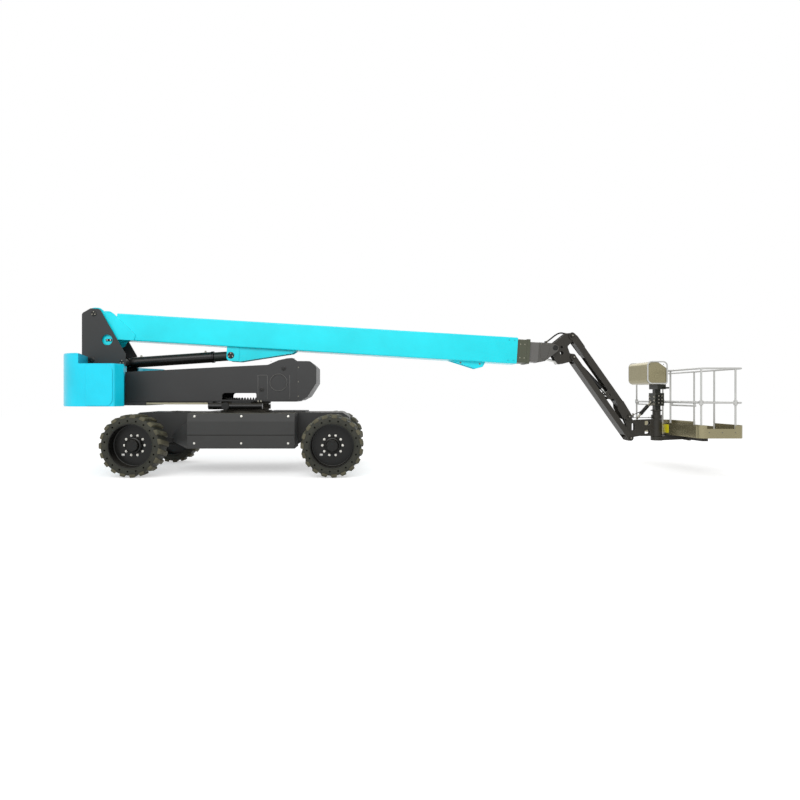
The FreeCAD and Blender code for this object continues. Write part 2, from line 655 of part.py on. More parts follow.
def swing_drive():
    """Worm gearbox that hangs beside the ring from the turntable, with its motor."""
    y = SLEW_RING_RADIUS + 32
    z = SLEW_RING_TOP - 75
    worm = along(52, -250, 400, -y - 52, z)
    cap = across((-250, z), 68, -y - 125, -y)
    motor = along(58, -560, -250, -y - 52, z)
    neck = box(-200, 250, -y - 60, -SIDE_INNER, DECK_BOTTOM, DECK_BOTTOM + 12)
    hanger = box(-150, 200, -y - 60, -y - 40, z, DECK_BOTTOM + 12)
    return fuse([worm, cap, motor, neck, hanger])


def ground_controls():
    """Plain control box on the left side plate."""
    y = TURNTABLE_HALF_WIDTH
    return bar([(y, 1500), (y + 90, 1520, 12), (y + 120, 1760, 12), (y, 1790)], -1150, -850)


# ---------------------------------------------------------------- boom
BASE_TOP = -PIVOT_OVER_CENTRE + BASE_HEIGHT / 2
BASE_LOW = -PIVOT_OVER_CENTRE - BASE_HEIGHT / 2


def section_tube(width, height, x0, x1):
    centre = -PIVOT_OVER_CENTRE
    return box_tube(width, centre + height / 2, centre - height / 2, x0, x1, BOOM_WALL)


def boom_base():
    """Outer boom section, with the wedge-shaped cable guide welded under its front."""
    tube = section_tube(BASE_WIDTH, BASE_HEIGHT, BASE_REAR, BASE_FRONT)
    front = BASE_FRONT - 560
    corners = [(front - 700, BASE_LOW + 4), (front - 170, BASE_LOW - 130, 40), (front - 40, BASE_LOW - 87, 40),
               (front, BASE_LOW + 4)]
    guides = [plate(corners, y, y + 14) for y in (-110, 96)]
    floor = box(front - 600, front - 60, -96, 96, BASE_LOW - 12, BASE_LOW + 2)
    return on_the_boom(fuse([tube, floor] + guides))


def boom_tail():
    """Pivot weldment: two cheek plates, the hub tube for the pin and a closing web."""
    y0 = BASE_WIDTH / 2
    corners = [(-118, 118, 115), (85, 118, 100), (200, BASE_TOP - 4), (330, BASE_TOP - 4, 30),
               (770, BASE_LOW + 110, 60), (740, BASE_LOW + 6, 30), (440, BASE_LOW + 4, 30),
               (390, BASE_LOW - 110, 60), (110, BASE_LOW - 110, 60), (-118, -118, 115)]
    cheek = plate(corners, y0, y0 + TAIL_PLATE)
    hub_tube = across((0, 0), 88, -TOWER_HALF_WIDTH + ROTATING_GAP + 1, TOWER_HALF_WIDTH - ROTATING_GAP - 1)
    web = plate([(-30, -60), (BASE_REAR, -60), (BASE_REAR, -85), (-30, -85)], -y0, y0)
    shape = fuse([cheek, mirrored(cheek), hub_tube, web])
    return on_the_boom(shape.cut(across((0, 0), BOOM_PIN_RADIUS + PIN_CLEARANCE, -500, 500)))


BRACKET_INNER = 112.0
BRACKET_PLATE = 18.0


def lift_bracket():
    """Cheeks under the boom that take the lift cylinder's eye, with their long tapered feet."""
    u, v = LIFT_EYE
    corners = [(u - 84, BASE_LOW), (u - 78, v - 108, 70), (u + 170, v - 108, 60), (u + 1140, BASE_LOW - 52, 30),
               (u + 1212, BASE_LOW)]
    cheek = plate(corners, BRACKET_INNER, BRACKET_INNER + BRACKET_PLATE)
    doubler = plate([(u - 82, BASE_LOW - 3), (u - 76, v - 106, 68), (u + 155, v - 106, 20), (u + 155, BASE_LOW - 3)],
                    BRACKET_INNER + BRACKET_PLATE, BRACKET_INNER + BRACKET_PLATE + 10)
    foot = box(u + 420, u + 560, -BRACKET_INNER - 5, BRACKET_INNER + 5, BASE_LOW - 60, BASE_LOW)
    return on_the_boom(fuse([cheek, doubler, mirrored(cheek), mirrored(doubler), foot]))


def boom_mid():
    """Middle section with the collar at its mouth."""
    tube = section_tube(MID_WIDTH, MID_HEIGHT, 450, MID_FRONT)
    collar = section_tube(MID_WIDTH + 2 * 6, MID_HEIGHT + 2 * 12, MID_FRONT - 46, MID_FRONT + 8)
    collar = collar.cut(bar(rounded_section(MID_WIDTH - 2 * BOOM_WALL, -PIVOT_OVER_CENTRE + MID_HEIGHT / 2 - BOOM_WALL,
                                            -PIVOT_OVER_CENTRE - MID_HEIGHT / 2 + BOOM_WALL, 14),
                            MID_FRONT - 60, MID_FRONT + 60))
    return on_the_boom(fuse([tube, collar]))


def boom_tip():
    """Inner section, with the level cylinder's base pin across it."""
    tube = section_tube(TIP_WIDTH, TIP_HEIGHT, 500, TIP_FRONT)
    pin = across(plus(NOSE_PIVOT, LEVEL_BASE), 20, -TIP_WIDTH / 2 + 2, TIP_WIDTH / 2 - 2)
    return on_the_boom(fuse([tube, pin]))


def boom_nose():
    """Fork of two cheek plates that carries the knuckle's pin, with a web across its top."""
    top, low = -PIVOT_OVER_CENTRE + TIP_HEIGHT / 2, -PIVOT_OVER_CENTRE - TIP_HEIGHT / 2
    x, z = NOSE_PIVOT
    inner = NOSE_HALF_WIDTH - NOSE_PLATE
    corners = [(TIP_FRONT, top), (x - 60, top, 60), (x + 62, z + 40, 50), (x + 62, z - 50, 50),
               (x - 180, low + 25, 30), (TIP_FRONT + 40, low, 40), (TIP_FRONT, low)]
    cheek = plate(corners, inner, NOSE_HALF_WIDTH)
    panel = plate([(TIP_FRONT + 30, top - 45, 40), (x - 90, top - 45, 40), (x - 105, top - 110, 40),
                   (TIP_FRONT + 150, low + 60, 40), (TIP_FRONT + 50, low + 60, 40)], NOSE_HALF_WIDTH, NOSE_HALF_WIDTH + 5)
    web = box(TIP_FRONT, TIP_FRONT + 50, -inner, inner, top - 14, top)
    pin = across(NOSE_PIVOT, NOSE_PIN_RADIUS, -NOSE_HALF_WIDTH, NOSE_HALF_WIDTH)
    return on_the_boom(fuse([cheek, mirrored(cheek), panel, mirrored(panel), web, pin]))


# ---------------------------------------------------------------- cylinders
def barrel(radius, length, eye, pin, rod, half):
    """Cylinder barrel along +x from its base eye at the origin, bored for the rod at its gland."""
    body = along(radius, eye * 0.8, length)
    gland = along(radius + 4, length - 40, length)
    base = across((0, 0), eye, -half, half)
    shape = fuse([body, gland, base])
    return shape.cut(fuse([across((0, 0), pin + PIN_CLEARANCE, -half - 5, half + 5),
                           along(rod + PIN_CLEARANCE, eye + 12, length + 5)]))


def rod_with_eye(start, end, radius, eye, half):
    """Piston rod along +x from start to its plain eye, which is left open of its pin."""
    return fuse([along(radius, start, end - eye * 0.5), across((end, 0), eye, -half, half),
                 along(eye * 0.92, end - eye * 1.7, end - eye * 0.4)]).cut(
        across((end, 0), eye * 0.4, -half - 5, half + 5))


def between(a, b):
    """Length and angle from point a to point b."""
    dx, dz = b[0] - a[0], b[1] - a[1]
    return math.hypot(dx, dz), math.degrees(math.atan2(dz, dx))


LIFT_CLOSED, LIFT_ANGLE = between(LIFT_BASE, on_boom(*LIFT_EYE))
LEVEL_BASE_POINT = on_boom(*plus(NOSE_PIVOT, LEVEL_BASE))
LEVEL_OPEN, LEVEL_ANGLE = between(LEVEL_BASE_POINT, plus(NOSE, LEVEL_EYE))
JIB_EYE_POINT = plus(UPPER_PIVOT, turned(JIB_EYE, JIB_ANGLE))
JIB_CLOSED, JIB_CYLINDER_ANGLE = between(LOWER_PIVOT, JIB_EYE_POINT)


def lift_barrel():
    shape = barrel(LIFT_BARREL_RADIUS, LIFT_BARREL_LENGTH, 92, LIFT_PIN_RADIUS, LIFT_ROD_RADIUS, LIFT_HUB_HALF)
    return place_on(shape, LIFT_BASE, LIFT_ANGLE)


def lift_rod():
    start = LIFT_BARREL_LENGTH - LIFT_STROKE - 40
    head = along(LIFT_BARREL_RADIUS - 12, LIFT_BARREL_LENGTH + SLIDE_GAP, LIFT_CLOSED - 60)
    rod = rod_with_eye(start, LIFT_CLOSED, LIFT_ROD_RADIUS, 89, 98)
    head = head.cut(across((LIFT_CLOSED, 0), 60, -200, 200))
    return place_on(fuse([rod, head]), LIFT_BASE, LIFT_ANGLE)


def level_barrel():
    shape = barrel(LEVEL_BARREL_RADIUS, LEVEL_BARREL_LENGTH, 40, 20, LEVEL_ROD_RADIUS, 35)
    return place_on(shape, LEVEL_BASE_POINT, LEVEL_ANGLE)


def level_rod():
    start = LEVEL_BARREL_LENGTH - 28
    return place_on(rod_with_eye(start, LEVEL_OPEN, LEVEL_ROD_RADIUS, 40, 32), LEVEL_BASE_POINT, LEVEL_ANGLE)


def jib_barrel():
    shape = barrel(JIB_BARREL_RADIUS, JIB_BARREL_LENGTH, 50, JIB_PIN_RADIUS, JIB_ROD_RADIUS, 42)
    return place_on(shape, LOWER_PIVOT, JIB_CYLINDER_ANGLE)


def jib_rod():
    start = JIB_BARREL_LENGTH - JIB_STROKE - 30
    return place_on(rod_with_eye(start, JIB_CLOSED, JIB_ROD_RADIUS, 42, 40), LOWER_PIVOT, JIB_CYLINDER_ANGLE)


# ---------------------------------------------------------------- knuckle and jib
def jib_knuckle():
    """Level knuckle: two cut plates on the nose pin that carry both arms and the jib cylinder."""
    ux, uz = JIB_UPPER
    lx, lz = JIB_LOWER
    ex, ez = LEVEL_EYE
    corners = [
        (-62, -64, 60), (-62, 52, 50), (ux - 112, uz + 44, 30), (ux + 50, uz + 60, 58), (ux + 60, uz - 60, 58),
        (ux - 78, 30, 40), (lx - 60, lz + 70, 30), (lx + 56, lz + 58, 54), (lx + 56, lz - 58, 54),
        (ex + 50, ez - 34, 32), (ex - 34, ez - 34, 32),
    ]
    cheek = plate(corners, KNUCKLE_INNER, KNUCKLE_HALF_WIDTH)
    web = plate([(30, 66), (ux - 112, uz + 20), (ux - 82, uz + 20), (60, 66)], -KNUCKLE_INNER, KNUCKLE_INNER)
    hub_end = NOSE_HALF_WIDTH - NOSE_PLATE - ROTATING_GAP
    cheeks = fuse([cheek, mirrored(cheek), web, across((0, 0), 58, -hub_end, hub_end),
                   across(JIB_UPPER, 48, -KNUCKLE_INNER, KNUCKLE_INNER)])
    holes = [across((0, 0), NOSE_PIN_RADIUS + PIN_CLEARANCE, -200, 200), across((146, 20), 24, -200, 200),
             across((149, -90), 35, -200, 200)]
    pins = [across(JIB_UPPER, JIB_PIN_RADIUS, -JIB_PIN_END, JIB_PIN_END),
            across(JIB_LOWER, JIB_PIN_RADIUS, -JIB_PIN_END, JIB_PIN_END)]
    stubs = [across(LEVEL_EYE, 20, KNUCKLE_INNER, KNUCKLE_HALF_WIDTH + 6)]
    stubs.append(mirrored(stubs[0]))
    shape = fuse([cheeks.cut(fuse(holes))] + pins + stubs)
    return place_on(shape, NOSE, 0)


def jib_upper_arm():
    """Upper link: box section with cheek plates at both ends and slotted for the cylinder below."""
    w, end = JIB_HALF_WIDTH, JIB_LENGTH
    top, low = UPPER_ARM_OFFSET + UPPER_ARM_HEIGHT / 2, UPPER_ARM_OFFSET - UPPER_ARM_HEIGHT / 2
    start, stop = 150, end - 245
    tube = box_tube(2 * w, top, low, start, stop, JIB_WALL, 14)
    caps = [box(x0, x0 + JIB_WALL, -w + JIB_WALL, w - JIB_WALL, low + 5, top - 5) for x0 in (start, stop - JIB_WALL)]
    u, v = JIB_EYE
    slot = box(JIB_BARREL_LENGTH - 320, u + 150, -62, 62, low - 5, low + JIB_WALL + 5)
    head = plate([(-58, -56, 54), (-56, 52, 50), (70, top, 60), (300, top), (420, low), (75, low - 10, 60),
                  (30, -60, 40)], w, w + JIB_PLATE)
    foot = plate([(end + 54, -60, 56), (end + 54, 56, 50), (end - 300, top), (end - 420, low), (end - 320, low),
                  (end - 245, low - 46, 60), (end - 60, low - 70, 60)], w, w + JIB_PLATE)
    lug = plate([(u - 150, low + 30), (u - 100, low, 20), (u - 62, v - 62, 60), (u + 62, v - 62, 60), (u + 110, low, 20),
                 (u + 160, low + 30)], w, w + JIB_PLATE)
    lug = lug.cut(across(JIB_EYE, 22, w - 5, w + JIB_PLATE + 5))
    shape = fuse([tube.cut(slot)] + caps + [head, foot, mirrored(head), mirrored(foot), lug, mirrored(lug)])
    for s in (0, end):
        shape = shape.cut(across((s, 0), JIB_PIN_RADIUS + PIN_CLEARANCE, -200, 200))
    return place_on(shape, UPPER_PIVOT, JIB_ANGLE)


def jib_lower_arm():
    """Lower link: channel open at its top, in which the jib cylinder lies."""
    top, low = LOWER_ARM_OFFSET + LOWER_ARM_HEIGHT / 2, LOWER_ARM_OFFSET - LOWER_ARM_HEIGHT / 2
    end = JIB_LENGTH
    y0, y1 = LOWER_ARM_INNER, LOWER_ARM_INNER + JIB_PLATE
    cheek = plate([(-52, low, 50), (-52, top, 40), (end + 52, top, 40), (end + 52, low, 50)], y0, y1)
    floor = box(110, end - 110, -y0, y0, low, low + 8)
    shape = fuse([cheek, mirrored(cheek), floor])
    for s in (0, end):
        shape = shape.cut(across((s, 0), JIB_PIN_RADIUS + PIN_CLEARANCE, -200, 200))
    return place_on(shape, LOWER_PIVOT, JIB_ANGLE)


def platform_bracket():
    """Two cut plates from the jib's ends to the rotator's housing tube."""
    ux, uz = UPPER_END
    lx, lz = LOWER_END
    end = ROTATOR_X - 40
    corners = [
        (ux - 60, uz - 62, 58), (ux - 60, uz + 60, 58), (ux + 60, uz + 60, 58), (ux + 95, BRACKET_HIGH - 30, 50),
        (ux + 180, BRACKET_HIGH - 15, 60), (end, BRACKET_HIGH), (end, BRACKET_LOW), (lx + 200, BRACKET_LOW, 60),
        (lx + 85, lz + 12, 60), (lx + 55, lz - 58, 54), (lx - 58, lz - 58, 54), (lx - 50, lz + 90, 60),
        (ux - 22, uz - 150, 60),
    ]
    cheek = plate(corners, BRACKET_GAP / 2, BRACKET_GAP / 2 + KNUCKLE_PLATE)
    slot_x, rear = ux + 80, ROTATOR_X - ROTATOR_RADIUS - 45
    cuts = [
        plate([(slot_x, uz - 265, 15), (slot_x + 62, uz - 265, 15), (slot_x + 62, uz - 130, 15), (slot_x, uz - 130, 15)],
              -200, 200),
        plate([(rear - 105, BRACKET_HIGH - 115, 15), (rear, BRACKET_HIGH - 115, 40), (rear, BRACKET_HIGH - 35, 28),
               (rear - 105, BRACKET_HIGH - 35, 15)], -200, 200),
        plate([(rear - 105, BRACKET_LOW + 35, 15), (rear, BRACKET_LOW + 45, 30), (rear, BRACKET_LOW + 125, 40),
               (rear - 105, BRACKET_LOW + 100, 15)], -200, 200),
    ]
    housing = upright(ROTATOR_X, 0, ROTATOR_RADIUS, BRACKET_LOW, BRACKET_HIGH)
    hubs = [across(pin, 50, -KNUCKLE_HALF_WIDTH, KNUCKLE_HALF_WIDTH) for pin in (UPPER_END, LOWER_END)]
    pins = [across(pin, JIB_PIN_RADIUS, -JIB_PIN_END, JIB_PIN_END) for pin in (UPPER_END, LOWER_END)]
    shape = fuse([cheek, mirrored(cheek)]).cut(fuse(cuts))
    shape = fuse([shape, housing] + hubs + pins)
    return shape.cut(upright(ROTATOR_X, 0, ROTATOR_SHAFT + PIN_CLEARANCE, BRACKET_LOW - 10, BRACKET_HIGH + 10))


# ---------------------------------------------------------------- platform
def platform_rotator():
    """Shaft of the rotary actuator with its lower flange and upper cap."""
    gap = ROTATING_GAP + 1
    return fuse([
        upright(ROTATOR_X, 0, ROTATOR_SHAFT, ROTATOR_BOTTOM, ROTATOR_TOP),
        upright(ROTATOR_X, 0, ROTATOR_RADIUS + 8, ROTATOR_BOTTOM, BRACKET_LOW - gap),
        upright(ROTATOR_X, 0, ROTATOR_RADIUS, BRACKET_HIGH + gap, ROTATOR_TOP - 90),
        upright(ROTATOR_X, 0, ROTATOR_RADIUS - 22, ROTATOR_TOP - 100, ROTATOR_TOP),
        upright(ROTATOR_X, 0, ROTATOR_RADIUS + 8, ROTATOR_TOP - 16, ROTATOR_TOP),
    ])


def platform_support():
    """Tapered spine from the rotator's flange under the floor, with its cross beam."""
    x0, x1 = ROTATOR_X, PLATFORM_FAR - 270
    below = BRACKET_LOW - ROTATING_GAP - 2
    spine = plate([(x0, below), (x0, ROTATOR_BOTTOM), (x0 + 500, ROTATOR_BOTTOM + 24), (x1 - 60, ROTATOR_BOTTOM),
                   (x1 - 20, ROTATOR_BOTTOM), (x1 + 30, PLATFORM_BOTTOM - 40), (x1 + 30, PLATFORM_BOTTOM),
                   (PLATFORM_NEAR + 20, PLATFORM_BOTTOM), (PLATFORM_NEAR - 10, below)], -70, 70)
    beam = box(x1 - 140, x1 - 30, -600, 600, ROTATOR_BOTTOM + 30, PLATFORM_BOTTOM)
    flange = upright(x0, 0, ROTATOR_RADIUS + 8, ROTATOR_BOTTOM - 5, PLATFORM_BOTTOM + 5)
    half = box(x0 - 200, x0, -200, 200, ROTATOR_BOTTOM - 5, PLATFORM_BOTTOM + 5)
    return fuse([spine, beam]).cut(fuse([flange, half]))


def platform_outline(inset):
    x0, x1 = PLATFORM_NEAR + inset, PLATFORM_FAR - inset
    w, r = PLATFORM_HALF_WIDTH - inset, PLATFORM_CORNER - inset
    return [(x0, -w, r), (x1, -w, r), (x1, w, r), (x0, w, r)]


def platform_floor():
    """Thin floor plate on ribs that run front to back."""
    floor = slab(platform_outline(TOE_WALL), FLOOR_TOP - FLOOR_PLATE, FLOOR_TOP)
    x0, x1 = PLATFORM_NEAR + TOE_WALL + 1, PLATFORM_FAR - TOE_WALL - 1
    ribs = [box(x0, x1, y - 20, y + 20, PLATFORM_BOTTOM, FLOOR_TOP - FLOOR_PLATE) for y in (-900, -450, 0, 450, 900)]
    return fuse([floor] + ribs)


def toe_boards():
    """Upstand round the floor, cut lower where people step in."""
    wall = slab(platform_outline(0), PLATFORM_BOTTOM, TOE_TOP).cut(
        slab(platform_outline(TOE_WALL), PLATFORM_BOTTOM - 5, TOE_TOP + 5))
    high = TOE_TOP + 5
    side = box(PLATFORM_NEAR + PLATFORM_CORNER, PLATFORM_FAR - ENTRY_END - 20, -1300, 1300, TOE_ENTRY_TOP, high)
    gate = box(PLATFORM_FAR - 40, PLATFORM_FAR + 20, GATE_BAY[0], GATE_BAY[1], TOE_ENTRY_TOP, high)
    return wall.cut(fuse([side, gate]))


RAIL_X0 = PLATFORM_NEAR + TOE_WALL + RAIL_RADIUS + 1
RAIL_X1 = PLATFORM_FAR - TOE_WALL - RAIL_RADIUS - 1
RAIL_Y = PLATFORM_HALF_WIDTH - TOE_WALL - RAIL_RADIUS - 1
RAIL_CORNER = PLATFORM_CORNER - TOE_WALL - RAIL_RADIUS - 1
POST_RADIUS = RAIL_RADIUS - 1
CORNER_POST = (RAIL_X0 + RAIL_CORNER * (1 - math.sqrt(0.5)), RAIL_Y - RAIL_CORNER * (1 - math.sqrt(0.5)))
ENTRY_POST = (PLATFORM_FAR - ENTRY_END, RAIL_Y)


def rail_loop(z):
    """One loop of rail as its pieces: four straight tubes, and each elbow in segments of equal angle."""
    x0, x1, y1 = RAIL_X0 + RAIL_CORNER, RAIL_X1 - RAIL_CORNER, RAIL_Y - RAIL_CORNER
    pieces = [Part.makeCylinder(RAIL_RADIUS, 2 * y1, V(x, -y1, z), V(0, 1, 0)) for x in (RAIL_X0, RAIL_X1)]
    pieces += [Part.makeCylinder(RAIL_RADIUS, x1 - x0, V(x0, y, z), V(1, 0, 0)) for y in (-RAIL_Y, RAIL_Y)]
    step = 90.0 / ELBOW_SEGMENTS
    for x, y, first in ((x1, y1, 0), (x0, y1, 90), (x0, -y1, 180), (x1, -y1, 270)):
        for segment in range(ELBOW_SEGMENTS):
            elbow = Part.makeTorus(RAIL_CORNER, RAIL_RADIUS, V(0, 0, 0), V(0, 0, 1), 0, 360, step)
            elbow.rotate(V(0, 0, 0), V(0, 0, 1), first + segment * step)
            elbow.translate(V(x, y, z))
            pieces.append(elbow)
    return pieces


def rail_posts():
    """Upright tubes on the floor, coped to the rails, the machine-side pair stouter above the mid rail."""
    places = [(CORNER_POST[0], side * CORNER_POST[1]) for side in (-1, 1)]
    places += [(ENTRY_POST[0], side * ENTRY_POST[1]) for side in (-1, 1)]
    places += [(RAIL_X1, GATE_BAY[0]), (RAIL_X1, GATE_BAY[1])]
    places += [(RAIL_X0, -MACHINE_SIDE_POST), (RAIL_X0, MACHINE_SIDE_POST)]
    posts = [upright(x, y, POST_RADIUS, FLOOR_TOP, TOP_RAIL - 2) for x, y in places]
    rails = Part.makeCompound(rail_loop(TOP_RAIL) + [mid_rails()])
    return Part.makeCompound([post.cut(rails) for post in posts])


def platform_rails():
    """Top rail: one closed loop of tube round the platform."""
    return Part.makeCompound(rail_loop(TOP_RAIL))


def mid_rails():
    """Mid rail, left out at both side entries, with a second tube on spacers beside the console."""
    gaps = []
    for side in (-1, 1):
        y0, y1 = sorted((side * (CORNER_POST[1] - 40), side * (RAIL_Y + 60)))
        gaps.append(box(CORNER_POST[0] - BAR_GAP, ENTRY_POST[0] + BAR_GAP, y0, y1, MID_RAIL - 40, MID_RAIL + 40))
    rails = [solid for piece in rail_loop(MID_RAIL) for solid in piece.cut(fuse(gaps)).Solids]
    spacers = []
    for side in (-1, 1):
        y0, y1 = sorted((side * (MACHINE_SIDE_POST + 45), side * (CORNER_POST[1] - 110)))
        low = MID_RAIL - 3.4 * RAIL_RADIUS
        rails.append(across((RAIL_X0, low), RAIL_RADIUS - 2, y0, y1))
        spacers += [upright(RAIL_X0, y, RAIL_RADIUS - 3, low, MID_RAIL) for y in (y0 + 16, y1 - 16)]
    return Part.makeCompound(rails + [spacer.cut(Part.makeCompound(rails)) for spacer in spacers])




def entry_bar(side):
    """Drop bar of one side entry: a tube between two collars that slide up its posts."""
    ax, ay = CORNER_POST
    bx, by = ENTRY_POST
    collar_radius = BAR_GAP - ROTATING_GAP - 2
    collars = [upright(x, y, collar_radius, MID_RAIL - 40, MID_RAIL + 40) for x, y in (CORNER_POST, ENTRY_POST)]
    run = V(bx - ax, by - ay, 0)
    tube = Part.makeCylinder(RAIL_RADIUS - 2, run.Length, V(ax, ay, MID_RAIL), run)
    bores = [upright(x, y, POST_RADIUS + 0.5, MID_RAIL - 60, MID_RAIL + 60) for x, y in (CORNER_POST, ENTRY_POST)]
    shape = fuse([tube] + collars).cut(fuse(bores))
    return shape if side > 0 else mirrored(shape)


def console_post():
    """Column from the rotator's cap to the console, with the valve block on it."""
    x = ROTATOR_X
    post = box(x - 50, x + 50, -50, 50, ROTATOR_TOP, CONSOLE_LOW)
    valves = box(x - 85, x + 80, -115, 115, 1180, 1420)
    arm = box(x + 50, RAIL_X0 - RAIL_RADIUS - 2, -205, 205, 1500, 1530)
    plinth = box(x - 62, x + 95, -150, 150, CONSOLE_LOW - 90, CONSOLE_LOW)
    return fuse([post, valves, arm, plinth])


def console_outline(inset):
    x0, x1 = ROTATOR_X - CONSOLE_BEHIND + inset, ROTATOR_X - CONSOLE_BEHIND + CONSOLE_DEPTH - inset
    z0, z1 = CONSOLE_LOW + inset, CONSOLE_HIGH - inset
    return [(x0, z0, 95 - inset), (x0, z1, 80 - inset), (x1 - 170, z1), (x1, z1 - 120), (x1, z0, 20)]


def control_console():
    """Rounded sheet-metal console, hollow, with the cable slot in its floor."""
    wall, w = 5.0, CONSOLE_HALF_WIDTH
    outer = plate(console_outline(0), -w, w)
    inner = plate(console_outline(wall), -w + wall, w - wall)
    x = ROTATOR_X
    slot = box(x - 260, x - 130, 70, 200, CONSOLE_LOW - 5, CONSOLE_LOW + wall + 5)
    return outer.cut(fuse([inner, slot]))


def console_frame():
    """Round-cornered loop of tube at each side of the console, with a stay back to the top rail."""
    x0, x1 = ROTATOR_X - CONSOLE_BEHIND + CONSOLE_TUBE, ROTATOR_X - CONSOLE_BEHIND + CONSOLE_DEPTH
    z0, z1 = CONSOLE_LOW + CONSOLE_TUBE, CONSOLE_HIGH
    y = CONSOLE_HALF_WIDTH + CONSOLE_TUBE
    loop = outline([(x0, z0, 85), (x0, z1, 75), (x1, z1, 75), (x1, z0, 40)], lambda p: V(p.x, y, p.y))
    edge = loop.Edges[1]
    start = edge.valueAt(edge.FirstParameter)
    ring = Part.Wire(Part.makeCircle(CONSOLE_TUBE, start, edge.tangentAt(edge.FirstParameter)))
    tube = Part.Wire(loop.Edges[1:] + loop.Edges[:1]).makePipeShell([ring], True, False)
    stay = Part.makeCylinder(CONSOLE_TUBE - 2, RAIL_X0 - x1, V(x1, y, TOP_RAIL), V(1, 0, 0))
    stay = stay.cut(across((RAIL_X0, TOP_RAIL), RAIL_RADIUS, y - 2 * CONSOLE_TUBE, y + 2 * CONSOLE_TUBE))
    return both_sides(fuse([tube, stay]))


# ---------------------------------------------------------------- hoses
NOSE_HOSE = [
    (5634, 0, 2366), (5716, 0, 2424), (5800, 0, 2494), (5880, 0, 2545), (5962, 0, 2556), (6057, 0, 2518),
]
PLATFORM_HOSE = [
    (7600, 20, 1208), (7552, 19, 1152), (7500, 17, 1095), (7450, 15, 1038), (7402, 15, 976),
]
PLATFORM_CABLE = [
    (7604, -40, 1196), (7556, -42, 1168), (7506, -44, 1130), (7452, -44, 1094), (7396, -44, 1066), (7340, -44, 1042),
    (7286, -44, 1018),
]


# ---------------------------------------------------------------- build
def build_parts():
    parts = {
        "chassis_frame": chassis_frame(),
        "chassis_covers": both_sides(chassis_cover()),
        "steer_axle": steer_axle(),
        "drive_axle": drive_axle(),
        "slew_ring": slew_ring(),
        "steering_cylinder": steering_cylinder(),
        "steering_rod": steering_rod(),
        "tie_down_lugs": tie_down_lugs(),
        "turntable_deck": turntable_deck(),
        "turntable_sides": both_sides(turntable_side()),
        "turntable_top_cover": turntable_top_cover(),
        "turntable_front_cover": turntable_front_cover(),
        "tower_plates": both_sides(tower_plate()),
        "tower_crossmember": tower_crossmember(),
        "turntable_pins": turntable_pins(),
        "counterweight": counterweight(),
        "engine": engine(),
        "swing_drive": swing_drive(),
        "ground_controls": ground_controls(),
        "boom_base": boom_base(),
        "boom_tail": boom_tail(),
        "lift_bracket": lift_bracket(),
        "boom_mid": boom_mid(),
        "boom_tip": boom_tip(),
        "boom_nose": boom_nose(),
        "lift_barrel": lift_barrel(),
        "lift_rod": lift_rod(),
        "level_barrel": level_barrel(),
        "level_rod": level_rod(),
        "jib_knuckle": jib_knuckle(),
        "jib_upper_arm": jib_upper_arm(),
        "jib_lower_arm": jib_lower_arm(),
        "jib_barrel": jib_barrel(),
        "jib_rod": jib_rod(),
        "platform_bracket": platform_bracket(),
        "platform_rotator": platform_rotator(),
        "platform_support": platform_support(),
        "platform_floor": platform_floor(),
        "toe_boards": toe_boards(),
        "platform_rails": platform_rails(),
        "mid_rails": mid_rails(),
        "rail_posts": rail_posts(),
        "console_post": console_post(),
        "control_console": control_console(),
        "console_frame": console_frame(),
        "nose_hose": hose(NOSE_HOSE, HOSE_RADIUS),
        "platform_hose": hose(PLATFORM_HOSE, HOSE_RADIUS),
        "platform_cable": hose(PLATFORM_CABLE, CABLE_RADIUS),
    }
    for name, side in (("right", -1), ("left", 1)):
        parts["knuckle_" + name] = knuckle(side)
        parts["entry_bar_" + name] = entry_bar(side)
        for axle, x in (("steer", STEER_X), ("drive", DRIVE_X)):
            parts["%s_tyre_%s" % (axle, name)] = tyre(x, side)
            parts["%s_rim_%s" % (axle, name)] = rim(x, side)
    return parts


def main():
    os.makedirs("parts", exist_ok=True)
    for name, shape in build_parts().items():
        shape.translate(V(TO_FRAME, 0, 0))
        shape.exportStep("parts/%s.step" % name)


if __name__ == "__main__":
    main()
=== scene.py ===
import math

import bmesh
import bpy
from mathutils import Matrix, Vector


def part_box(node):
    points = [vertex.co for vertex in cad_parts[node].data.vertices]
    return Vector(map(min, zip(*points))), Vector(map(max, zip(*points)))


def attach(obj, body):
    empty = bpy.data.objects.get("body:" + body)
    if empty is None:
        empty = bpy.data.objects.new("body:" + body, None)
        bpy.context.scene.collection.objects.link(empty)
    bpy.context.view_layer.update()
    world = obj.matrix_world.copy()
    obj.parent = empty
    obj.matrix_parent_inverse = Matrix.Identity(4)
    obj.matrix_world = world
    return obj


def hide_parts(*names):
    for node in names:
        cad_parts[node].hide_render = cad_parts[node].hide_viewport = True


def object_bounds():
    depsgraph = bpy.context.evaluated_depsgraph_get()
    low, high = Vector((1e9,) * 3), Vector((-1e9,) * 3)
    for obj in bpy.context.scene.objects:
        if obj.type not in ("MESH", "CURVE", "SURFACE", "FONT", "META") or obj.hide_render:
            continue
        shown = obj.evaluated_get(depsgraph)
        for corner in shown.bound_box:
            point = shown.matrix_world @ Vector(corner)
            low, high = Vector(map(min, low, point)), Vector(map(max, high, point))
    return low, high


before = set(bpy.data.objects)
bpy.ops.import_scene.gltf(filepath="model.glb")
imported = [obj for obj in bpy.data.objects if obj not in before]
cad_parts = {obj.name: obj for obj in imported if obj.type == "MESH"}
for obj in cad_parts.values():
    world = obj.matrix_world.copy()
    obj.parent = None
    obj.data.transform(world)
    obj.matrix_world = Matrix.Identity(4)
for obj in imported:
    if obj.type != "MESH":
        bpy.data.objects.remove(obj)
cad_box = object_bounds()


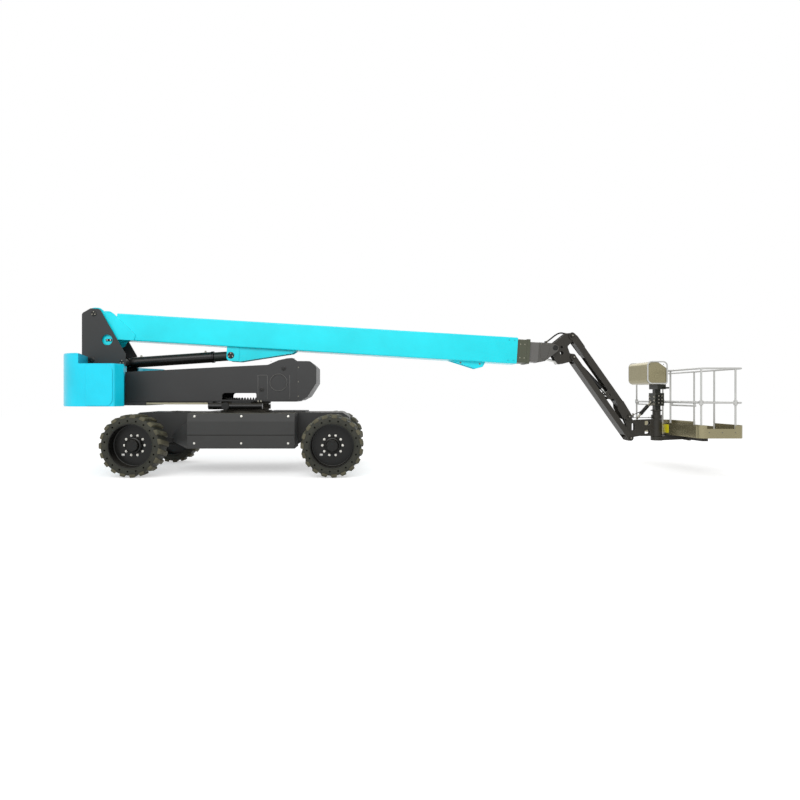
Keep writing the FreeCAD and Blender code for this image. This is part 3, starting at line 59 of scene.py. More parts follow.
# ---------------------------------------- studio
# A pale floor under a white surround, one broad lamp above the near side and a weaker one from the
# other side. Only camera and mirror rays see the white, so it adds no light to the machine.
scene = bpy.context.scene
scene.view_settings.view_transform = "Standard"
LOW, HIGH = Vector(cad_box[0]), Vector(cad_box[1])
MIDDLE = (LOW + HIGH) / 2


class Maths:
    """A shader socket used in arithmetic, as in 1 - mask * 0.5; node() adds any other node."""

    def __init__(self, tree, socket):
        self.tree, self.socket = tree, socket

    def node(self, kind, settings=None, inputs=None, output=0):
        made = self.tree.nodes.new(kind)
        for name, value in (settings or {}).items():
            setattr(made, name, value)
        for name, value in (inputs or {}).items():
            if isinstance(value, Maths):
                self.tree.links.new(value.socket, made.inputs[name])
            else:
                made.inputs[name].default_value = value
        return Maths(self.tree, made.outputs[output])

    def operate(self, operation, a, b):
        return self.node("ShaderNodeMath", {"operation": operation}, {0: a, 1: b})

    def __add__(self, other):
        return self.operate("ADD", self, other)

    def __radd__(self, other):
        return self.operate("ADD", other, self)

    def __sub__(self, other):
        return self.operate("SUBTRACT", self, other)

    def __rsub__(self, other):
        return self.operate("SUBTRACT", other, self)

    def __mul__(self, other):
        return self.operate("MULTIPLY", self, other)

    def __rmul__(self, other):
        return self.operate("MULTIPLY", other, self)

    def __gt__(self, other):
        return self.operate("GREATER_THAN", self, other)


def shader_start(material_or_world):
    """Empties a node tree but for its output, and gives a Maths to add the first nodes with."""
    material_or_world.use_nodes = True
    tree = material_or_world.node_tree
    for node in list(tree.nodes):
        if "OUTPUT" not in node.type:
            tree.nodes.remove(node)
    return Maths(tree, None)


def shader_end(surface):
    output = next(node for node in surface.tree.nodes if "OUTPUT" in node.type)
    surface.tree.links.new(surface.socket, output.inputs["Surface"])


def seen_directly(start):
    """1 for rays from the camera, from a mirror or through glass, and 0 for those that carry light."""
    seen = [start.node("ShaderNodeLightPath", output=name)
            for name in ("Is Camera Ray", "Is Glossy Ray", "Is Transmission Ray")]
    return seen[0] + seen[1] + seen[2] > 0.5


world = bpy.data.worlds.new("studio")
scene.world = world
start = shader_start(world)
soft_light = start.node("ShaderNodeBackground", inputs={"Color": (1, 1, 1, 1), "Strength": 0.62})
surround = start.node("ShaderNodeBackground", inputs={"Color": (1, 1, 1, 1), "Strength": 1.0})
shader_end(start.node("ShaderNodeMixShader", inputs={0: seen_directly(start), 1: soft_light, 2: surround}))

FLOOR_SPREAD = 60.0
bpy.ops.mesh.primitive_plane_add(size=FLOOR_SPREAD, location=(MIDDLE.x, 0, 0))
floor = bpy.context.object
floor.name = "studio_floor"
floor_material = bpy.data.materials.new("studio_floor")
start = shader_start(floor_material)
lit = start.node("ShaderNodeBsdfDiffuse", inputs={"Color": (0.8, 0.8, 0.8, 1)})
glow = start.node("ShaderNodeEmission", inputs={"Color": (1, 1, 1, 1), "Strength": 0.5})
white = start.node("ShaderNodeAddShader", inputs={0: lit, 1: glow})
shader_end(start.node("ShaderNodeMixShader", inputs={0: seen_directly(start), 1: lit, 2: white}))
floor.data.materials.append(floor_material)


def lamp(name, place, aim, size, watts):
    data = bpy.data.lights.new(name, "AREA")
    data.shape, data.size, data.size_y, data.energy = "RECTANGLE", size[0], size[1], watts
    made = bpy.data.objects.new(name, data)
    scene.collection.objects.link(made)
    made.location = place
    made.rotation_euler = (Vector(aim) - Vector(place)).to_track_quat("-Z", "Y").to_euler()


lamp("near_lamp", (MIDDLE.x - 3, -11, 8), MIDDLE, (14, 6), 900)
lamp("far_lamp", (MIDDLE.x + 4, 10, 9), MIDDLE, (12, 6), 350)

CAMERA_STAND = (-0.648, -10.305, 1.377)
camera = bpy.data.objects.new("camera", bpy.data.cameras.new("camera"))
scene.collection.objects.link(camera)
camera.location = CAMERA_STAND
camera.rotation_euler = (math.radians(90), 0, 0)
camera.data.lens, camera.data.shift_x, camera.data.shift_y = 24.6, 0.0488, -0.0059
scene.camera = camera


# ---------------------------------------- hoses and cable
# Two wire-braided hydraulic hoses and the control cable, black rubber. The nose hose runs from the
# boom's mouth over the knuckle, the others hang from the valve block to an arm on the column.


def chip(red, green, blue):
    """Colour of a paint chip read in a drawing program, 0 to 255, as a shader wants it."""
    return tuple(c / 3294.6 if c < 11 else ((c / 255 + 0.055) / 1.055) ** 2.4
                 for c in (red, green, blue)) + (1.0,)


def blended(start, factor, colour_a, colour_b):
    return start.node("ShaderNodeMix", {"data_type": "RGBA"}, {0: factor, 6: colour_a, 7: colour_b}, 2)


def stretched(start, stretch):
    """The piece's own coordinates, each multiplied by a factor."""
    place = start.node("ShaderNodeTexCoord", output="Object")
    return start.node("ShaderNodeVectorMath", {"operation": "MULTIPLY"}, {0: place, 1: stretch})


def noise(start, scale, detail=3.0, stretch=(1, 1, 1)):
    """Cloudy values from 0 to 1 on the piece's own coordinates."""
    return start.node("ShaderNodeTexNoise", inputs={
        "Vector": stretched(start, stretch), "Scale": scale, "Detail": detail})


def surface(material, start, colour, roughness, height, depth, coat=0.0, metallic=0.0, normal=None,
            mirror=0.5):
    """Ends a material with its gloss, and height as a bump depth metres deep."""
    bump = {"Height": height, "Distance": depth, "Strength": 1.0}
    if normal:
        bump["Normal"] = normal
    shader_end(start.node("ShaderNodeBsdfPrincipled", inputs={
        "Base Color": colour, "Roughness": roughness, "Metallic": metallic, "Coat Weight": coat,
        "Specular IOR Level": mirror,
        "Normal": start.node("ShaderNodeBump", inputs=bump)}))
    return material


def rubber(name, colour, dust, roughness):
    """Moulded rubber: dull, faintly mottled, with a pale colour that gathers in patches: dust, but on the
    lugs a painted highlight.
    """
    material = bpy.data.materials.new(name)
    start = shader_start(material)
    patches = noise(start, 7.0, 6.0)
    grain = noise(start, 220.0)
    tone = blended(start, patches, chip(*colour), chip(*dust))
    gloss = roughness + patches * 0.2 - grain * 0.08
    return surface(material, start, tone, gloss, grain, 0.0006, mirror=0.25)


HOSE_RUBBER = rubber("hose_rubber", (26, 26, 24), (48, 47, 42), 0.45)


def hose(name, route, radius, body, cad_node):
    """Round hose on one smooth line through the route, fixed to a body in place of its CAD node."""
    curve = bpy.data.curves.new(name, "CURVE")
    curve.dimensions, curve.bevel_depth, curve.bevel_resolution, curve.use_fill_caps = "3D", radius, 5, True
    line = curve.splines.new("NURBS")
    line.points.add(len(route) - 1)
    for point, place in zip(line.points, route):
        point.co = (*place, 1.0)
    line.order_u, line.use_endpoint_u, line.resolution_u = 3, True, 10
    made = bpy.data.objects.new(name, curve)
    scene.collection.objects.link(made)
    curve.materials.append(HOSE_RUBBER)
    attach(made, body)
    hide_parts(cad_node)


HOSE_RADIUS, CABLE_RADIUS = 0.014, 0.007
SLEW_AXIS = -2.808
NOSE_ROUTE = [(SLEW_AXIS + x, 0.0, z) for x, z in (
    (5.634, 2.366), (5.716, 2.424), (5.800, 2.494), (5.880, 2.545), (5.962, 2.556), (6.057, 2.518))]
DROP_ROUTE = [(SLEW_AXIS + x, y, z) for x, y, z in (
    (7.600, 0.020, 1.208), (7.552, 0.019, 1.152), (7.500, 0.017, 1.095), (7.450, 0.015, 1.038),
    (7.402, 0.015, 0.976))]
CABLE_ROUTE = [(SLEW_AXIS + x, y, z) for x, y, z in (
    (7.604, -0.040, 1.196), (7.556, -0.042, 1.168), (7.506, -0.044, 1.130), (7.452, -0.044, 1.094),
    (7.396, -0.044, 1.066), (7.340, -0.044, 1.042), (7.286, -0.044, 1.018))]
hose("nose_hose_line", NOSE_ROUTE, HOSE_RADIUS, "knuckle", "nose_hose")
hose("platform_hose_line", DROP_ROUTE, HOSE_RADIUS, "platform", "platform_hose")
hose("platform_cable_line", CABLE_ROUTE, CABLE_RADIUS, "platform", "platform_cable")


def settled(name, body, material):
    """Names the piece in hand, puts its place in its mesh, and fixes it to a body."""
    made = bpy.context.object
    made.name = made.data.name = name
    bpy.ops.object.transform_apply(location=True, rotation=True, scale=True)
    made.data.materials.clear()
    made.data.materials.append(material)
    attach(made, body)
    return made


def choose(piece, test, kind="FACE"):
    """Goes into edit mode with only those faces or edges selected whose centre passes the test."""
    bpy.ops.object.mode_set(mode="EDIT")
    bpy.ops.mesh.select_mode(type=kind)
    bpy.ops.mesh.select_all(action="DESELECT")
    mesh = bmesh.from_edit_mesh(piece.data)
    for part in mesh.faces if kind == "FACE" else mesh.edges:
        part.select_set(test(sum((v.co for v in part.verts), Vector()) / len(part.verts)))
    mesh.select_flush_mode()
    bmesh.update_edit_mesh(piece.data)


def eased(piece, width, segments=2):
    """Rounds the sharp edges with an applied bevel and smooths what lies between them."""
    bpy.ops.object.mode_set(mode="OBJECT")
    bevel = piece.modifiers.new("eased", "BEVEL")
    bevel.width, bevel.segments, bevel.limit_method, bevel.angle_limit = width, segments, "ANGLE", 0.6
    bpy.ops.object.modifier_apply(modifier="eased")
    bpy.ops.object.shade_smooth_by_angle(angle=math.radians(35))
    return piece


def pressed_ferrule(name, route, radius, body):
    """Crimped steel ferrule over a route's first end: a turned sleeve with three pressed grooves."""
    tip = Vector(route[0])
    along = (Vector(route[1]) - tip).normalized()
    length, overlap = radius * 4.2, 0.004
    middle = tip + along * (length / 2 - overlap)
    grooves = (-0.3, 0.0, 0.3)
    bpy.ops.mesh.primitive_cylinder_add(vertices=24, radius=radius * 1.35, depth=length, location=middle,
                                        rotation=along.to_track_quat("Z", "Y").to_euler())
    bpy.ops.object.mode_set(mode="EDIT")
    for share in grooves:
        for edge in (-0.05, 0.05):
            bpy.ops.mesh.select_all(action="SELECT")
            bpy.ops.mesh.bisect(plane_co=tip + along * (length * (0.5 + share + edge) - overlap),
                                plane_no=along)
    bpy.ops.object.mode_set(mode="OBJECT")
    made = settled(name, body, FITTING_STEEL)

    def in_groove(centre):
        offset = (centre - middle).dot(along) / length
        out = (centre - middle - along * (offset * length)).length
        return any(abs(offset - share) < 0.03 for share in grooves) and out > radius
    choose(made, in_groove)
    bpy.ops.mesh.extrude_region_shrink_fatten(TRANSFORM_OT_shrink_fatten={"value": -radius * 0.12})
    return eased(made, radius * 0.05)


def plated(name, colour, roughness=0.32):
    """Zinc-plated or ground steel: bright metal with a fine brushed sheen and dulled patches."""
    material = bpy.data.materials.new(name)
    start = shader_start(material)
    patches = noise(start, 18.0, 5.0)
    lines = noise(start, 260.0, 2.0, (1, 1, 6))
    tone = blended(start, patches * 0.5, chip(*colour), chip(*(c * 0.62 for c in colour)))
    return surface(material, start, tone, roughness + patches * 0.18, lines, 0.0002, metallic=0.85)


FITTING_STEEL = plated("fitting_steel", (176, 172, 158))
pressed_ferrule("nose_hose_low_ferrule", NOSE_ROUTE, HOSE_RADIUS, "knuckle")
pressed_ferrule("nose_hose_high_ferrule", NOSE_ROUTE[::-1], HOSE_RADIUS, "knuckle")
pressed_ferrule("platform_hose_ferrule", DROP_ROUTE, HOSE_RADIUS, "platform")
pressed_ferrule("platform_hose_low_ferrule", DROP_ROUTE[::-1], HOSE_RADIUS, "platform")
pressed_ferrule("platform_cable_gland", CABLE_ROUTE, CABLE_RADIUS * 1.2, "platform")

# Corrugated sleeve that guards the platform hose over most of its length.
SLEEVE_RADIUS, SLEEVE_SPAN, RIDGE, RIDGE_HEIGHT = 0.030, (0.08, 0.86), 0.011, 0.004
bpy.ops.object.select_all(action="DESELECT")
sleeve = bpy.data.objects["platform_hose_line"].copy()
sleeve.data = sleeve.data.copy()
scene.collection.objects.link(sleeve)
sleeve.data.bevel_depth, sleeve.data.bevel_resolution = SLEEVE_RADIUS, 6
sleeve.data.splines[0].resolution_u = 24
sleeve.data.bevel_factor_start, sleeve.data.bevel_factor_end = SLEEVE_SPAN
bpy.context.view_layer.objects.active = sleeve
sleeve.select_set(True)
bpy.ops.object.convert(target="MESH")
sleeve = settled("platform_hose_sleeve", "platform", HOSE_RUBBER)
TOP = Vector(DROP_ROUTE[0])
RUN = (Vector(DROP_ROUTE[-1]) - TOP).normalized()
choose(sleeve, lambda centre: int((centre - TOP).dot(RUN) / RIDGE) % 2 == 0 and (centre - TOP).dot(RUN) > 0)
bpy.ops.mesh.extrude_region_shrink_fatten(TRANSFORM_OT_shrink_fatten={"value": RIDGE_HEIGHT})
bpy.ops.object.mode_set(mode="OBJECT")
bpy.ops.object.shade_smooth_by_angle(angle=math.radians(40))


# ---------------------------------------- chassis frame and covers
# Welded box frame with a bent-sheet compartment at each side, sprayed satin grey. The covers hang
# on flanged hex screws, three along the top fold and three along the bottom edge.


def painted(name, colour, roughness, dust, coat=0.0, wear=(96, 92, 84), mirror=0.3):
    """Sprayed paint: clouded tone, dust lying on upward faces, rubbed edges, and orange peel."""
    material = bpy.data.materials.new(name)
    start = shader_start(material)
    clouds = noise(start, 1.7, 5.0)
    grain = noise(start, 46.0, 4.0)
    peel = noise(start, 320.0, 1.0)
    rounded = start.node("ShaderNodeBevel", {"samples": 4}, {"Radius": 0.007})
    flat = start.node("ShaderNodeNewGeometry", output="Normal")
    bend = start.node("ShaderNodeVectorMath", {"operation": "DOT_PRODUCT"}, {0: rounded, 1: flat}, "Value")
    edge = (1 - bend) * 9.0 * grain
    edge = start.node("ShaderNodeClamp", inputs={"Value": edge - 0.35})
    upward = start.node("ShaderNodeSeparateXYZ", inputs={"Vector": flat}, output="Z")
    settled_dust = start.node("ShaderNodeClamp", inputs={"Value": (upward - 0.3) * clouds * dust * 1.6})
    shade = tuple(c * 0.86 for c in colour)
    tone = blended(start, clouds, chip(*colour), chip(*shade))
    tone = blended(start, settled_dust, tone, chip(150, 143, 126))
    tone = blended(start, edge * 0.55, tone, chip(*wear))
    gloss = roughness + grain * 0.12 + settled_dust * 0.3
    return surface(material, start, tone, gloss, peel, 0.00012, coat, 0.0, rounded, mirror)


def recoat(material, *nodes):
    """Gives CAD nodes their real finish."""
    for name in nodes:
        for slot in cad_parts[name].material_slots:
            slot.material = material


def repeated(piece, places, name, body):
    """Sets out copies of a piece, each with its own mesh, at the given matrices, as one piece."""
    copies = []
    for place in places:
        copy = piece.copy()
        copy.data = piece.data.copy()
        scene.collection.objects.link(copy)
        copy.data.transform(place)
        copies.append(copy)
    bpy.ops.object.select_all(action="DESELECT")
    for copy in copies:
        copy.select_set(True)
    bpy.context.view_layer.objects.active = copies[0]
    bpy.ops.object.join()
    joined = bpy.context.object
    joined.name = joined.data.name = name
    bpy.data.objects.remove(piece)
    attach(joined, body)
    return joined


def facing(place, direction):
    """Matrix that stands a piece drawn upwards from the origin on a surface facing a direction."""
    return Matrix.Translation(place) @ Vector(direction).to_track_quat("Z", "Y").to_matrix().to_4x4()


def around(count, radius, first=0.0):
    """Offsets of points spaced evenly on a circle."""
    turns = [first + math.tau * n / count for n in range(count)]
    return [(radius * math.cos(turn), radius * math.sin(turn)) for turn in turns]


def screws(name, places, direction, width, body, material):
    """Flanged hex screws, width across the flats: a chamfered head on its pressed washer."""
    bpy.ops.mesh.primitive_cylinder_add(vertices=6, radius=width / 1.732, depth=width * 0.5,
                                        location=(0, 0, width * 0.35))
    head = settled(name + "_head", body, material)
    choose(head, lambda centre: centre.z > width * 0.55)
    bpy.ops.mesh.inset(thickness=width * 0.08)
    bpy.ops.transform.translate(value=(0, 0, width * 0.06))
    bpy.ops.mesh.primitive_cylinder_add(vertices=18, radius=width * 0.85, depth=width * 0.12,
                                        location=(0, 0, width * 0.05))
    eased(head, width * 0.03, 1)
    repeated(head, [facing(place, direction) for place in places], name, body)


SIDES = ((-1, "right"), (1, "left"))


def side_screws(name, places, width, body, material, tilt=0.0):
    """Such screws in both sides of the machine, at places given for its left side."""
    for side, hand in SIDES:
        mirrored = [(x, side * y, z) for x, y, z in places]
        screws(f"{name}_{hand}", mirrored, (0, side, tilt), width, body, material)


CHASSIS_GREY = painted("chassis_paint", (56, 56, 55), 0.42, 0.3)
SCREW_STEEL = plated("screw_steel", (132, 129, 118), 0.38)
BRIGHT_ZINC = plated("bright_zinc", (232, 230, 222), 0.3)
recoat(CHASSIS_GREY, "chassis_frame", "chassis_covers", "tie_down_lugs")
COVER_LOW, COVER_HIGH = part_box("chassis_covers")
COVER_SCREW = 0.022
SCREW_X = [SLEW_AXIS + x for x in (-0.68, 0.12, 0.92)]
side_screws("cover_low_screws", [(x, COVER_HIGH.y - 0.001, COVER_LOW.z + 0.092) for x in SCREW_X],
            COVER_SCREW, "chassis", BRIGHT_ZINC)
side_screws("cover_high_screws", [(x, COVER_HIGH.y - 0.018, COVER_HIGH.z - 0.048) for x in SCREW_X],
            COVER_SCREW, "chassis", BRIGHT_ZINC, 0.19)


def plate_piece(name, low, high, body, material, ease):
    """Flat bar from its low to its high corner, with its edges broken."""
    low, high = Vector(low), Vector(high)
    bpy.ops.mesh.primitive_cube_add(size=1, location=(low + high) / 2, scale=high - low)
    return eased(settled(name, body, material), ease)


def side_plate(name, side, x, y, z, body, material, ease):
    """Such a bar at one side of the machine, y as distances out from its middle."""
    near, far = sorted((side * y[0], side * y[1]))
    return plate_piece(name, (x[0], near, z[0]), (x[1], far, z[1]), body, material, ease)


# Black rubber bead pressed into the groove along each cover.
BEAD_RUBBER = rubber("bead_rubber", (14, 14, 14), (30, 30, 28), 0.5)
for side, hand in SIDES:
    side_plate(f"cover_bead_{hand}", side, (SLEW_AXIS - 0.798, SLEW_AXIS + 1.028), (0.990, 0.9975),
               (0.691, 0.703), "chassis", BEAD_RUBBER, 0.0015)


# ---------------------------------------- axles, hubs and steering
# Cast and welded beams with the planetary hub housings, painted dark grey over a rough casting
# skin. The steering cylinder is gloss black and its through rod hard chrome.


def cast(name, colour, depth=0.0012):
    """Painted casting: a coarse sand-mould skin under dull paint, dusty in its hollows."""
    material = bpy.data.materials.new(name)
    start = shader_start(material)
    patches = noise(start, 5.0, 6.0)
    sand = noise(start, 130.0, 4.0)
    tone = blended(start, patches, chip(*colour), chip(*(c * 1.35 + 6 for c in colour)))
    return surface(material, start, tone, 0.5 + patches * 0.25, sand + patches, depth, mirror=0.3)


AXLE_CASTING = cast("axle_casting", (46, 46, 44))
GLOSS_BLACK = painted("cylinder_paint", (11, 12, 11), 0.22, 0.15, 0.0, (50, 48, 42), 0.35)
CHROME = plated("rod_chrome", (214, 214, 210), 0.12)
recoat(AXLE_CASTING, "steer_axle", "drive_axle", "knuckle_right", "knuckle_left")
recoat(GLOSS_BLACK, "steering_cylinder")
recoat(CHROME, "steering_rod")


# ---------------------------------------- wheels
# Solid rubber tyres with nineteen lugs at each shoulder and a ring of relief holes in the outer
# sidewall, on gloss black disc wheels held by ten nuts. One tyre is made and copied.


def lathed(name, profile, place, direction, steps, body, material, closed=False):
    """Turns a profile of (radius, height) points about an axis through place."""
    bpy.ops.mesh.primitive_plane_add(size=1, location=(0, 0, 0))
    bpy.ops.object.mode_set(mode="EDIT")
    bpy.ops.mesh.select_mode(type="VERT")
    bpy.ops.mesh.merge(type="CENTER")
    bpy.ops.transform.translate(value=(profile[0][0], 0, profile[0][1]))
    ring = list(profile[1:]) + ([profile[0]] if closed else [])
    for before, after in zip(profile, ring):
        bpy.ops.mesh.extrude_region_move(
            TRANSFORM_OT_translate={"value": (after[0] - before[0], 0, after[1] - before[1])})
    bpy.ops.mesh.select_all(action="SELECT")
    bpy.ops.mesh.spin(steps=steps, angle=math.tau, center=(0, 0, 0), axis=(0, 0, 1))
    bpy.ops.mesh.select_all(action="SELECT")
    bpy.ops.mesh.remove_doubles(threshold=0.00005)
    bpy.ops.mesh.normals_make_consistent(inside=False)
    bpy.ops.object.mode_set(mode="OBJECT")
    made = settled(name, body, material)
    bpy.ops.object.shade_smooth_by_angle(angle=math.radians(32))
    made.data.transform(facing(place, direction))
    return made


TYRE_RUBBER = rubber("sidewall_rubber", (33, 34, 28), (62, 62, 54), 0.55)
# The lugs' pale patch colour is a painted highlight for the sunlit tread faces, not dust.
LUG_RUBBER_PAINTED_HIGHLIGHT = rubber("lug_rubber_painted_highlight", (42, 42, 35), (112, 107, 86), 0.6)
RIM_BLACK = painted("rim_paint", (9, 9, 6), 0.3, 0.1, 0.0, (30, 29, 22), 0.3)
TAG_WHITE = painted("tag_plastic", (226, 226, 222), 0.4, 0.1)
TYRE_LOW, TYRE_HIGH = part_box("steer_tyre_right")
TYRE_RADIUS = (TYRE_HIGH.z - TYRE_LOW.z) / 2
TYRE_WIDTH = TYRE_HIGH.y - TYRE_LOW.y
RIM_RADIUS = 0.370
LUGS, NUTS = 19, 10
TREAD_FLOOR = TYRE_RADIUS - 0.036
SIDEWALL = [(RIM_RADIUS, 0.012), (RIM_RADIUS + 0.012, 0.002), (RIM_RADIUS + 0.022, 0.007),
            (RIM_RADIUS + 0.030, 0.002), (RIM_RADIUS + 0.075, 0.002), (TREAD_FLOOR - 0.03, 0.007),
            (TREAD_FLOOR - 0.006, 0.022), (TREAD_FLOOR, 0.05)]
carcass = lathed("carcass", SIDEWALL + [(r, TYRE_WIDTH - w) for r, w in reversed(SIDEWALL)], (0, 0, 0),
                 (0, 0, 1), 114, "chassis", TYRE_RUBBER, closed=True)
HOLE_RING, HOLE_RADIUS, HOLE_DEPTH = RIM_RADIUS + 0.052, 0.0155, 0.06
bpy.ops.mesh.primitive_cylinder_add(vertices=20, radius=HOLE_RADIUS, depth=HOLE_DEPTH * 2,
                                    location=(HOLE_RING, 0, TYRE_WIDTH))
bpy.ops.object.mode_set(mode="EDIT")
bpy.ops.mesh.select_all(action="SELECT")
bpy.ops.mesh.spin(steps=LUGS - 1, dupli=True, angle=math.tau * (LUGS - 1) / LUGS, center=(0, 0, 0),
                  axis=(0, 0, 1))
bpy.ops.object.mode_set(mode="OBJECT")
pegs = bpy.context.object
drill = carcass.modifiers.new("relief_holes", "BOOLEAN")
drill.operation, drill.object = "DIFFERENCE", pegs
bpy.ops.object.select_all(action="DESELECT")
bpy.context.view_layer.objects.active = carcass
bpy.ops.object.modifier_apply(modifier="relief_holes")
bpy.data.objects.remove(pegs)

LUG_LENGTH, LUG_REACH, LUG_HEIGHT, LUG_SWEEP = 0.098, 0.235, 0.058, 0.052
bpy.ops.mesh.primitive_cube_add(size=1, location=(TYRE_RADIUS - 0.0335, 0, 0.003 + LUG_REACH / 2),
                                scale=(LUG_HEIGHT, LUG_LENGTH, LUG_REACH))
lug = settled("lug", "chassis", LUG_RUBBER_PAINTED_HIGHLIGHT)
choose(lug, lambda centre: centre.z > LUG_REACH * 0.9)
bpy.ops.transform.translate(value=(0, LUG_SWEEP, 0))
bpy.ops.transform.resize(value=(1, 0.72, 1))
choose(lug, lambda centre: centre.x > TYRE_RADIUS - 0.012)
bpy.ops.transform.resize(value=(1, 0.86, 0.95))
choose(lug, lambda centre: centre.x > TYRE_RADIUS - 0.022 and centre.z < 0.02, "EDGE")
bpy.ops.mesh.bevel(offset=0.024, segments=2)
eased(lug, 0.006)
HALF_PITCH = Matrix.Rotation(math.pi / LUGS, 4, "Z")
OTHER_SHOULDER = HALF_PITCH @ Matrix.Translation((0, 0, TYRE_WIDTH)) @ Matrix.Rotation(math.pi, 4, "X")
turns = [Matrix.Rotation(math.tau * n / LUGS, 4, "Z") for n in range(LUGS)]
lugs = repeated(lug, turns + [turn @ OTHER_SHOULDER for turn in turns], "lugs", "chassis")
bpy.ops.object.select_all(action="DESELECT")
carcass.select_set(True)
lugs.select_set(True)
bpy.context.view_layer.objects.active = carcass
bpy.ops.object.join()
tyre = bpy.context.object

NUT_CIRCLE, NUT_SIZE, DISC_DEPTH = 0.172, 0.025, 0.2
CAP_SCREWS, CAP_CIRCLE, CAP_REACH = 6, 0.082, 0.119
TAG = (0.052, 0.003, 0.034)
for wheel, side in (("steer_right", -1), ("steer_left", 1), ("drive_right", -1), ("drive_left", 1)):
    axle, hand = wheel.split("_")
    body, node = f"{axle}_wheel_{hand}", f"{axle}_tyre_{hand}"
    low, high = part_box(node)
    middle = (low + high) / 2
    inner = Vector((middle.x, side * (abs(middle.y) - TYRE_WIDTH / 2), middle.z))
    made = repeated(tyre.copy(), [facing(inner, (0, side, 0))], node + "_tread", body)
    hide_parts(node)
    disc = side * (max(abs(low.y), abs(high.y)) - DISC_DEPTH)
    cap = side * (abs(disc) + CAP_REACH)
    screws(f"{wheel}_wheel_nuts", [(middle.x + x, disc, middle.z + z) for x, z in around(NUTS, NUT_CIRCLE)],
           (0, side, 0), NUT_SIZE, body, BRIGHT_ZINC)
    screws(f"{wheel}_cap_screws",
           [(middle.x + x, cap, middle.z + z) for x, z in around(CAP_SCREWS, CAP_CIRCLE)],
           (0, side, 0), 0.014, body, RIM_BLACK)
    bpy.ops.mesh.primitive_cube_add(size=1, scale=TAG,
                                    location=(middle.x - 0.19, disc + side * TAG[1], middle.z - 0.16))
    eased(settled(f"{wheel}_blank_tag", body, TAG_WHITE), 0.0008)
bpy.data.objects.remove(tyre)
recoat(RIM_BLACK, "steer_rim_right", "steer_rim_left", "drive_rim_right", "drive_rim_left")


# ---------------------------------------- slewing ring and swing drive
# Toothed outer race on the chassis, greased steel. The turntable's deck is bolted down on the inner
# race by a full ring of screws, and a worm gearbox with its hydraulic motor turns it.
RING_STEEL = cast("ring_steel", (60, 57, 50), 0.0005)
recoat(RING_STEEL, "slew_ring")
recoat(GLOSS_BLACK, "swing_drive")
DECK_TOP, BOLT_CIRCLE, RING_BOLTS = 1.290, 0.405, 48
STUD = [(0, 0), (0.020, 0), (0.020, 0.004), (0.0165, 0.005), (0.0165, 0.026), (0.011, 0.029),
        (0.011, 0.040), (0.008, 0.043), (0, 0.043)]
stud = lathed("stud", STUD, (0, 0, 0), (0, 0, 1), 12, "turntable", GLOSS_BLACK)
repeated(stud, [Matrix.Translation((SLEW_AXIS + x, y, DECK_TOP)) for x, y in around(RING_BOLTS, BOLT_CIRCLE)],
         "deck_ring_bolts", "turntable")
RING_FOOT, FOOT_CIRCLE = 1.083, 0.462
screws("ring_foot_bolts", [(SLEW_AXIS + x, y, RING_FOOT) for x, y in around(RING_BOLTS, FOOT_CIRCLE)],
       (0, 0, 1), 0.018, "chassis", SCREW_STEEL)
MOTOR_LOW, MOTOR_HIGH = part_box("swing_drive")
PORT = [(0, 0), (0.013, 0), (0.013, 0.016), (0.009, 0.018), (0.009, 0.034), (0, 0.034)]
for name, back in (("swing_port_low", 0.03), ("swing_port_high", 0.08)):
    lathed(name, PORT, (MOTOR_HIGH.x - back, MOTOR_LOW.y + 0.09, MOTOR_HIGH.z - 0.016), (0, 0, 1), 20,
           "turntable", FITTING_STEEL)


# ---------------------------------------- turntable
# Floor, side plates and moulded covers in satin grey paint. The side plates' bosses and the sheet
# covers are held by flanged screws, and a bent steel skirt closes the floor's edge behind the ring.
TURNTABLE_GREY = painted("turntable_paint", (56, 56, 56), 0.4, 0.3)
MOULDED_GREY = painted("moulded_cover", (58, 58, 58), 0.34, 0.3, 0.0, (84, 84, 82))
PIN_STEEL = painted("pin_black", (22, 22, 21), 0.34, 0.2, 0.0, (120, 116, 106))
SKIRT_BEIGE = painted("skirt_paint", (206, 198, 168), 0.4, 0.1)
# The ribs and the dish ring are painted a lighter grey than the side plates: a painted highlight along the
# pressed lines.
RIB_HIGHLIGHT_GREY = painted("rib_painted_highlight", (112, 112, 110), 0.3, 0.1)
recoat(TURNTABLE_GREY, "turntable_deck", "turntable_sides", "tower_plates", "tower_crossmember")
recoat(MOULDED_GREY, "turntable_front_cover", "turntable_top_cover")
SIDE_FACE = 0.450
BOSS_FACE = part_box("turntable_sides")[1].y - 0.002
COVER_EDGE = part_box("turntable_front_cover")[0].x + 0.025
BOSS_DISC = [(0, 0), (0.034, 0), (0.034, 0.003), (0.030, 0.005), (0.010, 0.005), (0.008, 0.003), (0, 0.003)]
DISH_RING = [(0.150, -0.008), (0.158, -0.008), (0.158, 0.004), (0.155, 0.007), (0.152, 0.007), (0.150, 0.004)]
SKIRT_SPAN = (SLEW_AXIS - 1.71, SLEW_AXIS - 0.60)
RIBS = [("rib_rear", 0.300, 0.308, 1.31, 1.743), ("rib_middle", 0.471, 0.479, 1.31, 1.735),
        ("rib_front", 0.873, 0.881, 1.31, 1.743), ("rib_top", 0.309, 0.470, 1.735, 1.743)]
